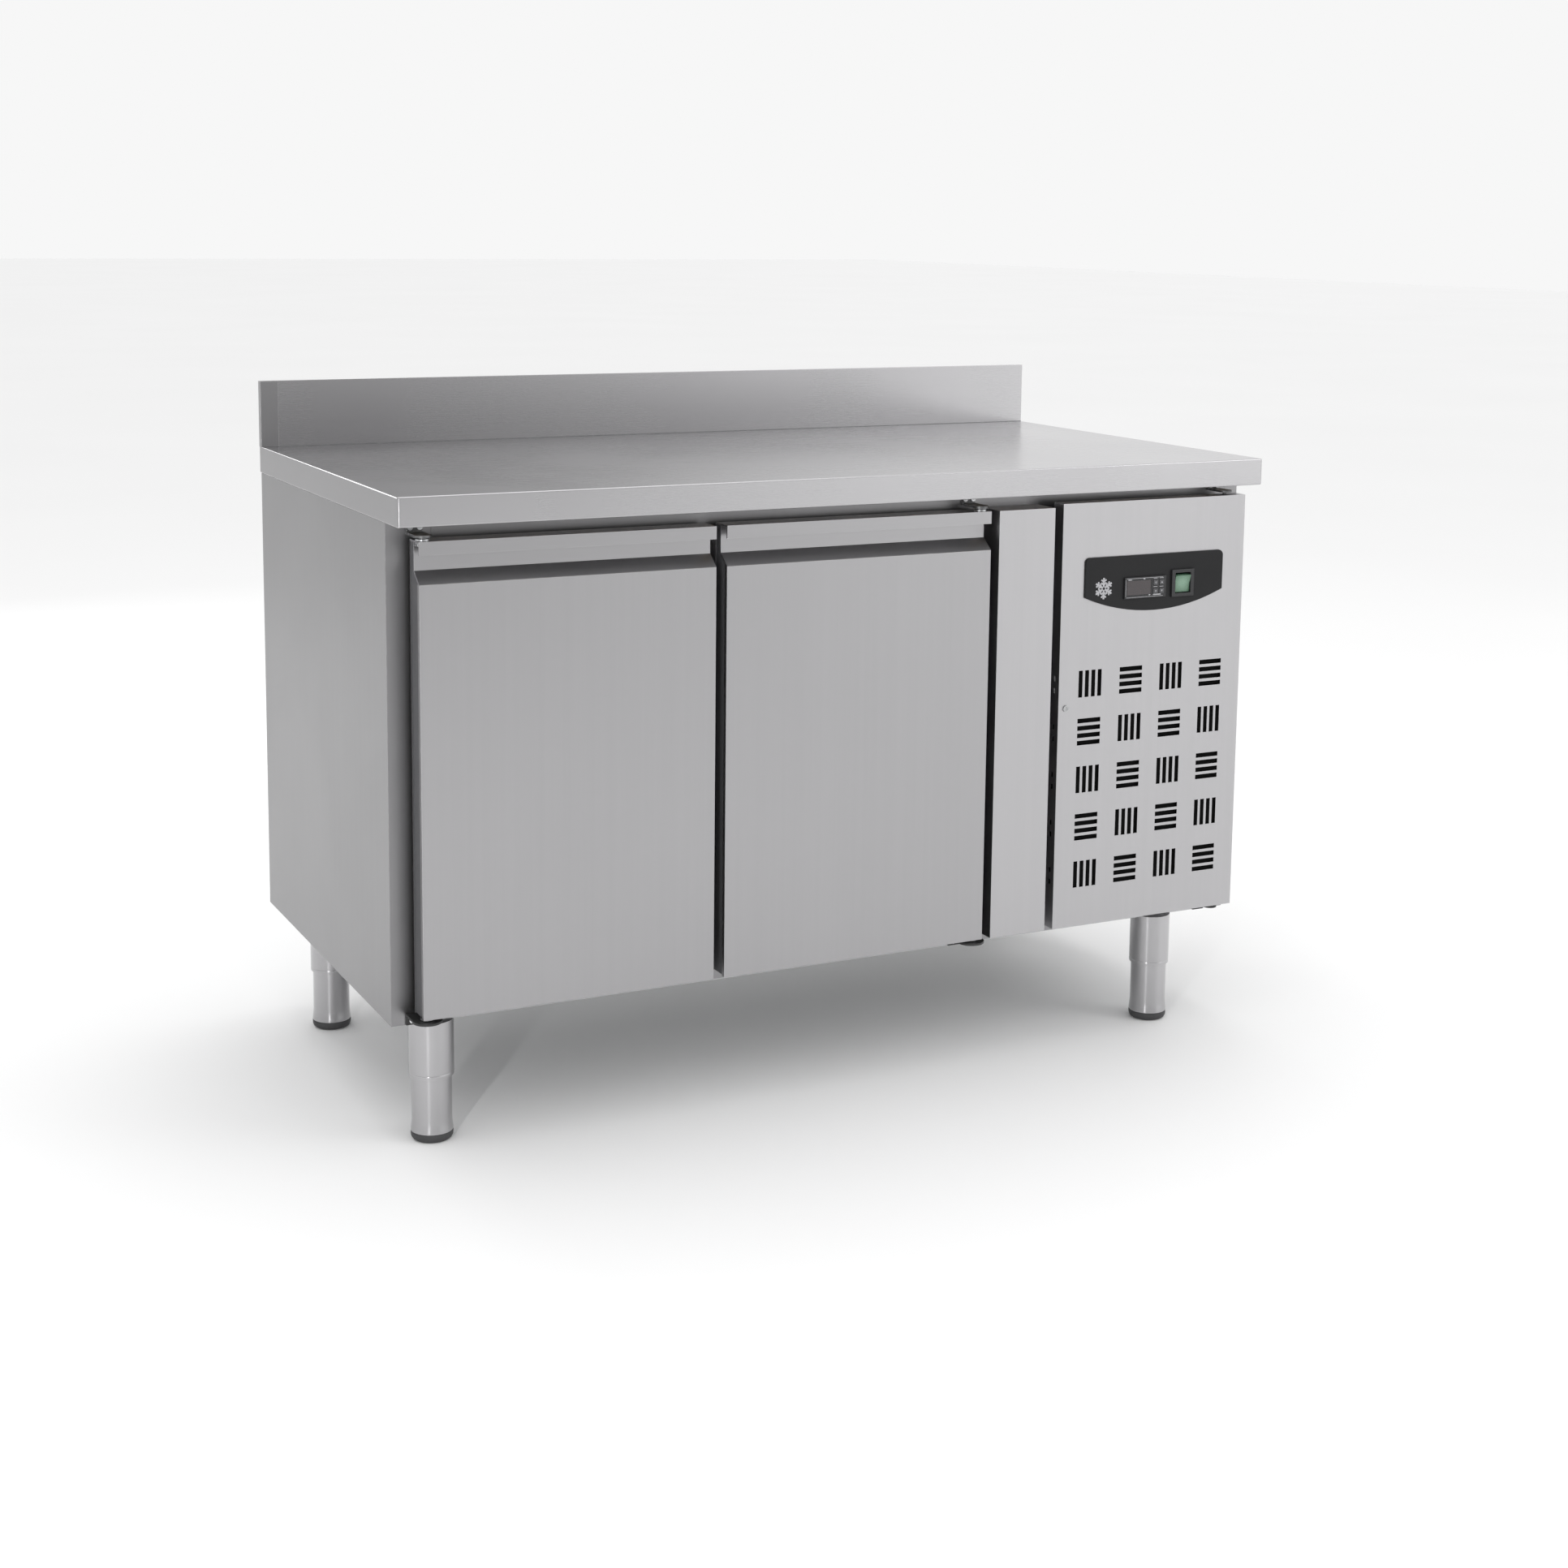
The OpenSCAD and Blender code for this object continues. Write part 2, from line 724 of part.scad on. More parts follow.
module hinge_brackets_lower() {
    plate_z = lower_z - bracket_t;
    color(black) {
        for (pin = door_pins) {
            bracket(pin, lower_half, plate_z, false);
            rod_z(pin[0], pin[1], lower_z - cut, lower_z + 18, hinge_pin_r);
        }
        bracket(panel_pin, panel_half, plate_z, false);
        rod_z(panel_pin[0], panel_pin[1], lower_z - cut, door_z0 + 6, panel_pin_r);
    }
}

// A pan-head screw with a cross recess, whose shank fills the bracket's hole
module screw(x, z) {
    y1 = frame_y - gap;
    head_y = y1 - bracket_t - 2.2;
    rod_y(x, z, head_y + cut, y1, screw_r);
    difference() {
        rod_y(x, z, head_y, y1 - bracket_t, screw_head_r);
        for (a = [0, 90]) translate([x, head_y, z]) rotate([0, a, 0]) cube([4, 2, 0.9], center = true);
    }
}

module bracket_screws() {
    low = tab_screw_z(lower_z - bracket_t, false);
    color(dark_steel) for (s = screw_sides) {
        for (pin = door_pins) {
            screw(pin[0] + s * lower_half, low);
            screw(pin[0] + s * upper_half, tab_screw_z(upper_z, true));
        }
        screw(panel_pin[0] + s * panel_half, low);
        screw(panel_pin[0] + s * panel_half, tab_screw_z(panel_bracket_z, true));
    }
}

// ---------------------------------------------------------------- legs

module leg_sleeve(x, y) {
    translate([x, y, 0]) {
        difference() {
            rod_z(0, 0, sleeve_z, base_h - gap, sleeve_r);
            rod_z(0, 0, sleeve_z - cut, base_h - 6, foot_r + sleeve_clearance);
        }
        rod_z(0, 0, base_h - 60, base_h - 5, rod_r);
    }
}

module leg_sleeves() {
    color(steel) for (x = leg_x, y = leg_y) leg_sleeve(x, y);
}

// The lower tube of a leg, with its nut plate inside and its plastic pad below
module foot(x, y) {
    wall = 1.5;
    nut_z = base_h - 26;
    flare_r = foot_r + 1.5;
    color(steel) translate([x, y, 0]) {
        difference() {
            union() {
                rod_z(0, 0, pad_h, base_h - 14, foot_r);
                translate([0, 0, pad_h]) cylinder(h = 16, r1 = flare_r, r2 = foot_r - 0.01);
            }
            rod_z(0, 0, pad_h + 2, nut_z, foot_r - wall);
            rod_z(0, 0, nut_z + 5, base_h, foot_r - wall);
            rod_z(0, 0, nut_z - cut, base_h, rod_r + rod_clearance);
        }
        translate([0, 0, 4]) cylinder(h = pad_h - 4 + 0.5, r = flare_r);
        cylinder(h = 4, r1 = flare_r - 4, r2 = flare_r);
    }
}

module foot_front_left() { foot(leg_x[0], leg_y[0]); }
module foot_front_right() { foot(leg_x[1], leg_y[0]); }
module foot_rear_left() { foot(leg_x[0], leg_y[1]); }
module foot_rear_right() { foot(leg_x[1], leg_y[1]); }

// ---------------------------------------------------------------- doors
// A door is described from its left side x0 to its right side x0 + door_w; hinge_x is its axis.

// The front sheet, folded back a little on every side
module door_skin(x0) {
    x1 = x0 + door_w;
    difference() {
        slab(x0, x1, face_y, face_y + skin_return, door_z0, band_z);
        slab(x0 + sheet, x1 - sheet, face_y + sheet, face_y + skin_return + cut,
            door_z0 + sheet, band_z + cut);
    }
}

// The profile along the top of the door: slanted band, recess wall, top and lip
module door_handle(x0, hinge_x) {
    t = profile_t;
    top = door_z1;
    slant_z = band_z + band_rise;
    back = door_back_y - sheet - gap;
    difference() {
        along_x(x0, x0 + door_w) polygon([
            [face_y, band_z + gap], [recess_y, slant_z], [recess_y, top - lip_t],
            [face_y + lip_t, top - lip_t], [face_y + lip_t, top - lip_h], [face_y, top - lip_h],
            [face_y, top], [back, top], [back, top - lip_t],
            [recess_y + t, top - lip_t], [recess_y + t, slant_z - t / 2], [face_y + 2 * t, band_z + gap]
        ]);
        rod_z(hinge_x, hinge_y, top - 10, top + cut, bush_r + 0.1);
    }
}

// The outline that the recess leaves for the door's filling, in Y and Z
module filling_outline(inset) {
    t = profile_t + inset;
    slant_z = band_z + band_rise;
    front = face_y + sheet + inset;
    back = door_back_y - sheet - inset;
    polygon([
        [front, door_z0 + t], [front, band_z - t], [front + t, band_z - t], [recess_y + t, slant_z - 2 * t],
        [recess_y + t, door_z1 - lip_t - inset], [back, door_z1 - lip_t - inset], [back, door_z0 + t]
    ]);
}

// The plastic tray that closes the door's back and sides
module door_inner(x0, hinge_x) {
    x1 = x0 + door_w;
    rim = 2;
    c = sheet + gap;
    difference() {
        union() {
            slab(x0, x1, door_back_y - sheet, door_back_y, door_z0, door_z1 - gap);
            for (x = [x0 + c, x1 - c - rim]) along_x(x, x + rim) filling_outline(0);
            slab(x0 + c, x1 - c, face_y + sheet + gap, door_back_y, door_z0 + c, door_z0 + c + rim);
        }
        rod_z(hinge_x, hinge_y, door_z0 - cut, door_z0 + 6, bush_r + 0.1);
    }
}

module door_foam(x0, hinge_x) {
    c = sheet + gap + 2 + 0.3;
    difference() {
        along_x(x0 + c, x0 + door_w - c) filling_outline(1.5);
        rod_z(hinge_x, hinge_y, door_z0 - cut, door_z0 + 24, bush_r + 0.5);
    }
}

// The magnetic seal: a wide base and a narrower bellows in front of the frame
module door_gasket(x0, x1) {
    z0 = door_z0 + 4;
    z1 = door_z1 - 6;
    y0 = door_back_y;
    y1 = frame_y - gasket_gap;
    base = 4;
    inset = 3;
    difference() {
        union() {
            slab(x0, x1, y0, y0 + base, z0, z1);
            slab(x0 + inset, x1 - inset, y0, y1, z0 + inset, z1 - inset);
        }
        slab(x0 + gasket_w - inset, x1 - gasket_w + inset, y0 - cut, y1 + cut,
            z0 + gasket_w - inset, z1 - gasket_w + inset);
        slab(x0 + gasket_w, x1 - gasket_w, y0 - cut, y1 + cut, z0 + gasket_w, z1 - gasket_w);
    }
}

// The two plastic bushes that a door turns on
module door_bushes(x) {
    r = hinge_pin_r + pin_clearance;
    difference() {
        union() {
            rod_z(x, hinge_y, door_z1 - 8, door_z1, bush_r);
            rod_z(x, hinge_y, door_z1 + gap / 2, door_z1 + 2, bush_flange_r);
            rod_z(x, hinge_y, door_z1 - cut, door_z1 + cut, bush_r);
        }
        rod_z(x, hinge_y, door_z1 - 20, door_z1 + 10, r);
    }
    difference() {
        union() {
            rod_z(x, hinge_y, door_z0 - 3, door_z0 - gap / 2, bush_flange_r);
            rod_z(x, hinge_y, door_z0 - cut, door_z0 + 20, bush_r);
        }
        rod_z(x, hinge_y, door_z0 - 10, door_z0 + 17, r);
    }
}

module door_left_skin() { color(steel) door_skin(door_x0_left); }
module door_right_skin() { color(steel) door_skin(door_x0_right); }
module door_left_handle() { color(steel) door_handle(door_x0_left, hinge_x_left); }
module door_right_handle() { color(steel) door_handle(door_x0_right, hinge_x_right); }
module door_left_inner() { color(grey_plastic) door_inner(door_x0_left, hinge_x_left); }
module door_right_inner() { color(grey_plastic) door_inner(door_x0_right, hinge_x_right); }
module door_left_foam() { color(foam) door_foam(door_x0_left, hinge_x_left); }
module door_right_foam() { color(foam) door_foam(door_x0_right, hinge_x_right); }
module door_left_gasket() { color(black) door_gasket(hinge_x_left + 1, door_x1_left - 2); }
module door_right_gasket() { color(black) door_gasket(door_x0_right + 2, hinge_x_right - 1); }
module door_left_bushes() { color(black) door_bushes(hinge_x_left); }
module door_right_bushes() { color(black) door_bushes(hinge_x_right); }

// ---------------------------------------------------------------- service panel

// One vent: parallel slots, upright or level
module vent(x, z, is_upright) {
    half = vent_size / 2;
    for (i = [0 : slots_per_vent - 1]) {
        s = -half + i * slot_pitch;
        if (is_upright) slab(x + s, x + s + slot_w, face_y - cut, face_y + 3, z - half, z + half);
        else slab(x - half, x + half, face_y - cut, face_y + 3, z + s, z + s + slot_w);
    }
}

// A centred block through the fascia and the panel, a little larger than a control's body
module control_cutout(x, z, w, h) {
    slab(x - w / 2 - 0.5, x + w / 2 + 0.5, fascia_y - cut, face_y + 3, z - h / 2 - 0.5, z + h / 2 + 0.5);
}

module control_cutouts() {
    control_cutout(thermo_x, thermo_z, thermo_body_w, thermo_body_h);
    control_cutout(switch_x, switch_z, switch_body_w, switch_body_h);
}

module service_panel() {
    color(steel) difference() {
        tray_back(service_x0, service_x1, face_y, face_y + service_d, door_z0, service_z1, sheet);
        for (c = [0 : vent_cols - 1], r = [0 : vent_rows - 1])
            vent(vent_x + (c - (vent_cols - 1) / 2) * vent_pitch, vent_z0 + r * vent_pitch, (c + r) % 2 == 0);
        for (r = [0 : vent_rows - 1], s = [-9, 9]) {
            z = vent_z0 + r * vent_pitch + s;
            slab(service_x0 - cut, service_x0 + 3, face_y + 10, face_y + 15, z - 4, z + 4);
        }
        control_cutouts();
        rod_z(panel_hinge_x, panel_hinge_y, door_z0 - cut, service_z1 + cut, panel_pin_r + pin_clearance);
        rod_y(screw_x, screw_z, face_y - cut, face_y + 3, 2.6);
    }
}

// Flat plate with round upper corners and a bowed lower side
module control_fascia() {
    xm = (fascia_x0 + fascia_x1) / 2;
    color(black) difference() {
        upright(fascia_y, face_y - 0.05) intersection() {
            round_rect(fascia_x0, fascia_x1, fascia_low_z - 20, fascia_z1, fascia_corner_r);
            translate([xm, fascia_low_z + fascia_arc_r]) circle(fascia_arc_r, $fn = 180);
        }
        control_cutouts();
    }
}

module panel_screw() {
    color(dark_steel) {
        rod_y(screw_x, screw_z, face_y - cut, frame_y - 1, 2.5);
        difference() {
            rod_y(screw_x, screw_z, face_y - 2, face_y - 0.05, 5);
            for (a = [0, 90]) translate([screw_x, face_y - 2, screw_z]) rotate([0, a, 0])
                cube([6, 2, 1.2], center = true);
        }
    }
}

// Digital thermostat: a window frame with a body behind the panel
module thermostat() {
    front = fascia_y - thermo_proud;
    pocket = 4;
    h = key_size / 2 + key_gap;
    color(black) difference() {
        union() {
            slab(thermo_x - thermo_w / 2, thermo_x + thermo_w / 2, front, fascia_y - 0.05,
                thermo_z - thermo_h / 2, thermo_z + thermo_h / 2);
            slab(thermo_x - thermo_body_w / 2, thermo_x + thermo_body_w / 2, fascia_y - cut, fascia_y + 54,
                thermo_z - thermo_body_h / 2, thermo_z + thermo_body_h / 2);
        }
        slab(lens_x0 - gap, lens_x1 + gap, front - cut, front + 1.5,
            thermo_z - lens_h / 2 - gap, thermo_z + lens_h / 2 + gap);
        for (x = key_x, z = key_z) slab(x - h, x + h, front - cut, front + pocket, z - h, z + h);
    }
}

module thermostat_lens() {
    front = fascia_y - thermo_proud;
    color("darkred") slab(lens_x0, lens_x1, front + 0.3, front + 1.45,
        thermo_z - lens_h / 2, thermo_z + lens_h / 2);
}

// A square push key in its pocket
module key(x, z) {
    front = fascia_y - thermo_proud;
    color(grey_plastic) slab(x - key_size / 2, x + key_size / 2, front - 1, front + 2.4,
        z - key_size / 2, z + key_size / 2);
}

module key_set() { key(key_x[0], key_z[1]); }
module key_up() { key(key_x[1], key_z[1]); }
module key_defrost() { key(key_x[0], key_z[0]); }
module key_down() { key(key_x[1], key_z[0]); }

module rocker_bezel() {
    front = fascia_y - bezel_proud;
    open_w = rocker_w + 1;
    open_h = rocker_h + 5;
    color(black) difference() {
        union() {
            slab(switch_x - bezel_w / 2, switch_x + bezel_w / 2, front, fascia_y - 0.05,
                switch_z - bezel_h / 2, switch_z + bezel_h / 2);
            slab(switch_x - switch_body_w / 2, switch_x + switch_body_w / 2, fascia_y - cut, fascia_y + 34,
                switch_z - switch_body_h / 2, switch_z + switch_body_h / 2);
        }
        slab(switch_x - open_w / 2, switch_x + open_w / 2, front - cut, fascia_y + 22,
            switch_z - open_h / 2, switch_z + open_h / 2);
        rod_x(rocker_y, switch_z, switch_x - trunnion_reach - 0.3, switch_x + trunnion_reach + 0.3,
            trunnion_r + 0.08);
    }
}

// The lit rocker on its two trunnions, tilted to its ON side about them
module rocker() {
    h = rocker_h / 2;
    color("seagreen") {
        translate([0, rocker_y, switch_z]) rotate([rocker_tilt, 0, 0])
            along_x(switch_x - rocker_w / 2, switch_x + rocker_w / 2)
                polygon([[-9.5, -h], [-8, 0], [-9.5, h], [-1, h], [5, 4], [5, -4], [-1, -h]]);
        rod_x(rocker_y, switch_z, switch_x - trunnion_reach, switch_x + trunnion_reach, trunnion_r);
    }
}

// ---------------------------------------------------------------- nodes

worktop();
worktop_core();
side_panel_left();
side_panel_right();
back_panel();
base_panel();
front_frame();
center_mullion();
insulation();
inner_liner();
machine_partition();
rear_grille();
shelf_uprights();
shelf_runners();
shelf_left();
shelf_right();
evaporator();
evaporator_cover();
evaporator_fan();
drip_tray();
fan_motors();
compressor();
condenser();
condenser_fan();
refrigerant_pipes();
condensate_tray();
electrical_box();
cable_gland();
blank_panel();
hinge_brackets_upper();
hinge_brackets_lower();
bracket_screws();
leg_sleeves();
foot_front_left();
foot_front_right();
foot_rear_left();
foot_rear_right();
door_left_skin();
door_left_handle();
door_left_inner();
door_left_foam();
door_left_gasket();
door_left_bushes();
door_right_skin();
door_right_handle();
door_right_inner();
door_right_foam();
door_right_gasket();
door_right_bushes();
service_panel();
control_fascia();
panel_screw();
thermostat();
thermostat_lens();
key_set();
key_up();
key_down();
key_defrost();
rocker_bezel();
rocker();
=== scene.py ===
import math
from contextlib import contextmanager

import bmesh
import bpy
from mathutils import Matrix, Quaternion, Vector


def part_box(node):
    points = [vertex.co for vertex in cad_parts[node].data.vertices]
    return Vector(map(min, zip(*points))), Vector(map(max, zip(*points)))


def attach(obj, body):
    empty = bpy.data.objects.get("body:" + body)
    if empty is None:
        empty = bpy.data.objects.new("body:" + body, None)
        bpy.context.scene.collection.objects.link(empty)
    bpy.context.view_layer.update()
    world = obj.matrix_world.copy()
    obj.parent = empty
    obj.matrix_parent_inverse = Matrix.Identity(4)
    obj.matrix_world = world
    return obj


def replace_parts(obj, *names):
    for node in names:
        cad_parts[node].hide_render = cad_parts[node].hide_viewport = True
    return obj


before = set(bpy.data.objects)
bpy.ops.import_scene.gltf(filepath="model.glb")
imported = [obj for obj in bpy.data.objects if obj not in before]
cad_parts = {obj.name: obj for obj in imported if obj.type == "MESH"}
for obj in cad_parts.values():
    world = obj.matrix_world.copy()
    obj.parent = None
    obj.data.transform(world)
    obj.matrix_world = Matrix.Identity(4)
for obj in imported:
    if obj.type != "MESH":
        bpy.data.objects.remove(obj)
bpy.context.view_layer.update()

MM = 0.001


def corners(name):
    """The lowest and the highest corner of a CAD node, in millimetres."""
    low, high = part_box(name)
    return low / MM, high / MM


def centre(name):
    """The middle of a CAD node, in millimetres."""
    low, high = corners(name)
    return (low + high) / 2


# ---------------------------------------------------------------- camera, light and floor

def place_camera():
    """Puts the camera to the left of the counter, a little above its worktop, turned to the right."""
    yaw, pitch, roll = 0.46385, 0.14103, 0.01099
    data = bpy.data.cameras.new("counter_camera")
    camera = bpy.data.objects.new("counter_camera", data)
    bpy.context.scene.collection.objects.link(camera)
    forward = Vector((math.sin(yaw) * math.cos(pitch), math.cos(yaw) * math.cos(pitch), -math.sin(pitch)))
    turn = forward.to_track_quat("-Z", "Y") @ Quaternion((0, 0, 1), roll)
    camera.location = (-1.57191, -3.22803, 1.24784)
    camera.rotation_euler = turn.to_euler()
    data.lens = 54.310
    data.sensor_width = 36
    data.shift_y = -0.15
    data.clip_end = 200
    bpy.context.scene.camera = camera


def softbox(name, place, target, width, height, power):
    """A rectangular studio light that faces a point."""
    data = bpy.data.lights.new(name, "AREA")
    data.shape = "RECTANGLE"
    data.size = width
    data.size_y = height
    data.energy = power
    lamp = bpy.data.objects.new(name, data)
    bpy.context.scene.collection.objects.link(lamp)
    lamp.location = place
    lamp.visible_camera = False
    lamp.rotation_euler = (Vector(target) - Vector(place)).to_track_quat("-Z", "Y").to_euler()


def studio_walls():
    """Pale surroundings: bright overhead, and round the sides dim on the left and bright on the right."""
    dim, bright, ceiling, backdrop = 0.46, 1.5, 1.2, 0.93
    world = bpy.data.worlds.new("studio_walls")
    bpy.context.scene.world = world
    world.use_nodes = True
    nodes, links = world.node_tree.nodes, world.node_tree.links
    nodes.clear()
    direction = nodes.new("ShaderNodeTexCoord")
    flat = nodes.new("ShaderNodeVectorMath")
    flat.operation = "MULTIPLY"
    flat.inputs[1].default_value = (1, 1, 0)
    links.new(direction.outputs["Generated"], flat.inputs[0])
    level = nodes.new("ShaderNodeVectorMath")
    level.operation = "NORMALIZE"
    links.new(flat.outputs["Vector"], level.inputs[0])
    axes = nodes.new("ShaderNodeSeparateXYZ")
    links.new(level.outputs["Vector"], axes.inputs["Vector"])
    wall = nodes.new("ShaderNodeValToRGB")
    wall.color_ramp.interpolation = "EASE"
    wall.color_ramp.elements[0].position = 0.30
    wall.color_ramp.elements[0].color = (dim, dim, dim, 1)
    wall.color_ramp.elements[1].position = 0.52
    wall.color_ramp.elements[1].color = (bright, bright, bright, 1)
    links.new(axes.outputs["X"], wall.inputs["Fac"])
    height = nodes.new("ShaderNodeSeparateXYZ")
    links.new(direction.outputs["Generated"], height.inputs["Vector"])
    overhead = nodes.new("ShaderNodeMapRange")
    overhead.interpolation_type = "SMOOTHSTEP"
    overhead.inputs["From Min"].default_value = 0.3
    overhead.inputs["From Max"].default_value = 0.75
    links.new(height.outputs["Z"], overhead.inputs["Value"])
    sweep = nodes.new("ShaderNodeMapRange")
    sweep.inputs["From Min"].default_value = -0.12
    sweep.inputs["From Max"].default_value = 0.12
    sweep.inputs["To Min"].default_value = 1.2
    sweep.inputs["To Max"].default_value = 0.66
    links.new(height.outputs["Z"], sweep.inputs["Value"])
    graded = nodes.new("ShaderNodeVectorMath")
    graded.operation = "SCALE"
    links.new(wall.outputs["Color"], graded.inputs[0])
    links.new(sweep.outputs["Result"], graded.inputs["Scale"])
    blend = nodes.new("ShaderNodeMix")
    blend.data_type = "RGBA"
    links.new(overhead.outputs["Result"], blend.inputs["Factor"])
    links.new(graded.outputs["Vector"], blend.inputs[6])
    blend.inputs[7].default_value = (ceiling, ceiling, ceiling, 1)
    walls = nodes.new("ShaderNodeBackground")
    links.new(blend.outputs[2], walls.inputs["Color"])
    seen = nodes.new("ShaderNodeBackground")
    seen.inputs["Color"].default_value = (backdrop, backdrop, backdrop, 1)
    rays = nodes.new("ShaderNodeLightPath")
    mix = nodes.new("ShaderNodeMixShader")
    links.new(rays.outputs["Is Camera Ray"], mix.inputs["Fac"])
    links.new(walls.outputs["Background"], mix.inputs[1])
    links.new(seen.outputs["Background"], mix.inputs[2])
    out = nodes.new("ShaderNodeOutputWorld")
    links.new(mix.outputs["Shader"], out.inputs["Surface"])


def studio_floor():
    """A wide pale floor under the feet, from a little in front of the counter to far behind it."""
    width, near_edge = 60, -5.5
    bpy.ops.object.select_all(action="DESELECT")
    bpy.ops.mesh.primitive_plane_add(size=width, location=(0, near_edge + width / 2, 0))
    floor = bpy.context.object
    floor.name = "studio_floor"
    bpy.ops.object.transform_apply(location=True, rotation=True, scale=True)
    material = bpy.data.materials.new("studio_paper")
    material.use_nodes = True
    nodes, links = material.node_tree.nodes, material.node_tree.links
    shader = nodes["Principled BSDF"]
    place = nodes.new("ShaderNodeTexCoord")
    cloud = nodes.new("ShaderNodeTexNoise")
    cloud.inputs["Scale"].default_value = 0.6
    links.new(place.outputs["Object"], cloud.inputs["Vector"])
    tone = nodes.new("ShaderNodeValToRGB")
    tone.color_ramp.elements[0].color = (0.87, 0.87, 0.87, 1)
    tone.color_ramp.elements[1].color = (0.90, 0.90, 0.90, 1)
    links.new(cloud.outputs["Fac"], tone.inputs["Fac"])
    links.new(tone.outputs["Color"], shader.inputs["Base Color"])
    shader.inputs["Roughness"].default_value = 0.8
    floor.data.materials.append(material)


place_camera()
studio_walls()
studio_floor()
softbox("right_softbox", (3.4, -3.0, 2.8), (2.2, -2.4, 0.0), 1.8, 1.8, 30)
softbox("left_softbox", (-3.6, -2.8, 3.2), (-0.4, -0.2, 0.5), 2.0, 2.0, 5)
softbox("leg_strip", (-2.35, -2.85, 1.2), (-0.6, -0.27, 0.1), 0.06, 1.6, 26)
softbox("rim_softbox", (-1.1, 4.0, 1.9), (-0.68, 0.0, 0.88), 1.2, 1.2, 17)
softbox("top_softbox", (0.3, 1.2, 4.2), (0, 0, 0.8), 3.0, 3.0, 30)
bpy.context.scene.view_settings.view_transform = "Standard"
bpy.context.scene.view_settings.look = "None"


# ---------------------------------------------------------------- shader node groups

def new_group(name, inputs, outputs):
    """An empty shader node group: inputs are (name, type, value), outputs (name, type)."""
    tree = bpy.data.node_groups.new(name, "ShaderNodeTree")
    for label, kind, value in inputs:
        socket = tree.interface.new_socket(name=label, in_out="INPUT", socket_type=kind)
        if value is not None:
            socket.default_value = value
    for label, kind in outputs:
        tree.interface.new_socket(name=label, in_out="OUTPUT", socket_type=kind)
    return tree, tree.nodes.new("NodeGroupInput"), tree.nodes.new("NodeGroupOutput")


def node(tree, kind, values=None, **settings):
    """A node with its settings and its unlinked input values."""
    made = tree.nodes.new(kind)
    for key, value in settings.items():
        setattr(made, key, value)
    for key, value in (values or {}).items():
        made.inputs[key].default_value = value
    return made


def maths(tree, operation, first, second):
    """A maths node; each operand is a socket or a number."""
    made = tree.nodes.new("ShaderNodeMath")
    made.operation = operation
    for socket, value in zip(made.inputs, (first, second)):
        if isinstance(value, (int, float)):
            socket.default_value = value
        else:
            tree.links.new(value, socket)
    return made.outputs["Value"]


def brushing_group():
    """Fine parallel scratches; the vector is already stretched along the brushing."""
    tree, start, end = new_group(
        "brushing",
        [("Vector", "NodeSocketVector", None), ("Fineness", "NodeSocketFloat", 1.0)],
        [("Scratches", "NodeSocketFloat"), ("Streaks", "NodeSocketFloat")],
    )
    fine = node(tree, "ShaderNodeTexNoise", {"Detail": 3.0, "Roughness": 0.7})
    broad = node(tree, "ShaderNodeTexNoise", {"Detail": 2.0, "Roughness": 0.5})
    tree.links.new(start.outputs["Vector"], fine.inputs["Vector"])
    tree.links.new(start.outputs["Vector"], broad.inputs["Vector"])
    tree.links.new(start.outputs["Fineness"], fine.inputs["Scale"])
    tree.links.new(maths(tree, "MULTIPLY", start.outputs["Fineness"], 0.12), broad.inputs["Scale"])
    tree.links.new(fine.outputs["Fac"], end.inputs["Scratches"])
    tree.links.new(broad.outputs["Fac"], end.inputs["Streaks"])
    return tree


def handling_group():
    """Soft clouds left by wiping and by hands, from 0 for clean to 1 for dull."""
    tree, start, end = new_group(
        "handling",
        [("Vector", "NodeSocketVector", None), ("Size", "NodeSocketFloat", 3.0),
         ("Amount", "NodeSocketFloat", 1.0)],
        [("Dullness", "NodeSocketFloat")],
    )
    cloud = node(tree, "ShaderNodeTexNoise", {"Detail": 4.0, "Roughness": 0.55, "Distortion": 0.4})
    tree.links.new(start.outputs["Vector"], cloud.inputs["Vector"])
    tree.links.new(start.outputs["Size"], cloud.inputs["Scale"])
    ramp = node(tree, "ShaderNodeMapRange", {"From Min": 0.35, "From Max": 0.7})
    tree.links.new(cloud.outputs["Fac"], ramp.inputs["Value"])
    dullness = maths(tree, "MULTIPLY", ramp.outputs["Result"], start.outputs["Amount"])
    tree.links.new(dullness, end.inputs["Dullness"])
    return tree


def edge_wear_and_highlight_group():
    """A mask of the edges that cloths and hands rub, broken up by noise; stainless also uses it for a painted
    highlight on its folds.
    """
    tree, start, end = new_group(
        "edge_wear_and_highlight",
        [("Vector", "NodeSocketVector", None), ("Width", "NodeSocketFloat", 0.0015),
         ("Breakup", "NodeSocketFloat", 60.0)],
        [("Wear_and_highlight", "NodeSocketFloat")],
    )
    rounded = node(tree, "ShaderNodeBevel", samples=4)
    tree.links.new(start.outputs["Width"], rounded.inputs["Radius"])
    flat = node(tree, "ShaderNodeNewGeometry")
    same = node(tree, "ShaderNodeVectorMath", operation="DOT_PRODUCT")
    tree.links.new(rounded.outputs["Normal"], same.inputs[0])
    tree.links.new(flat.outputs["Normal"], same.inputs[1])
    edge = node(tree, "ShaderNodeMapRange", {"From Min": 0.985, "From Max": 0.85})
    tree.links.new(same.outputs["Value"], edge.inputs["Value"])
    noise = node(tree, "ShaderNodeTexNoise", {"Detail": 3.0})
    tree.links.new(start.outputs["Vector"], noise.inputs["Vector"])
    tree.links.new(start.outputs["Breakup"], noise.inputs["Scale"])
    patch = node(tree, "ShaderNodeMapRange", {"From Min": 0.3, "From Max": 0.6})
    tree.links.new(noise.outputs["Fac"], patch.inputs["Value"])
    rubbed = maths(tree, "MULTIPLY", edge.outputs["Result"], patch.outputs["Result"])
    tree.links.new(rubbed, end.inputs["Wear_and_highlight"])
    return tree


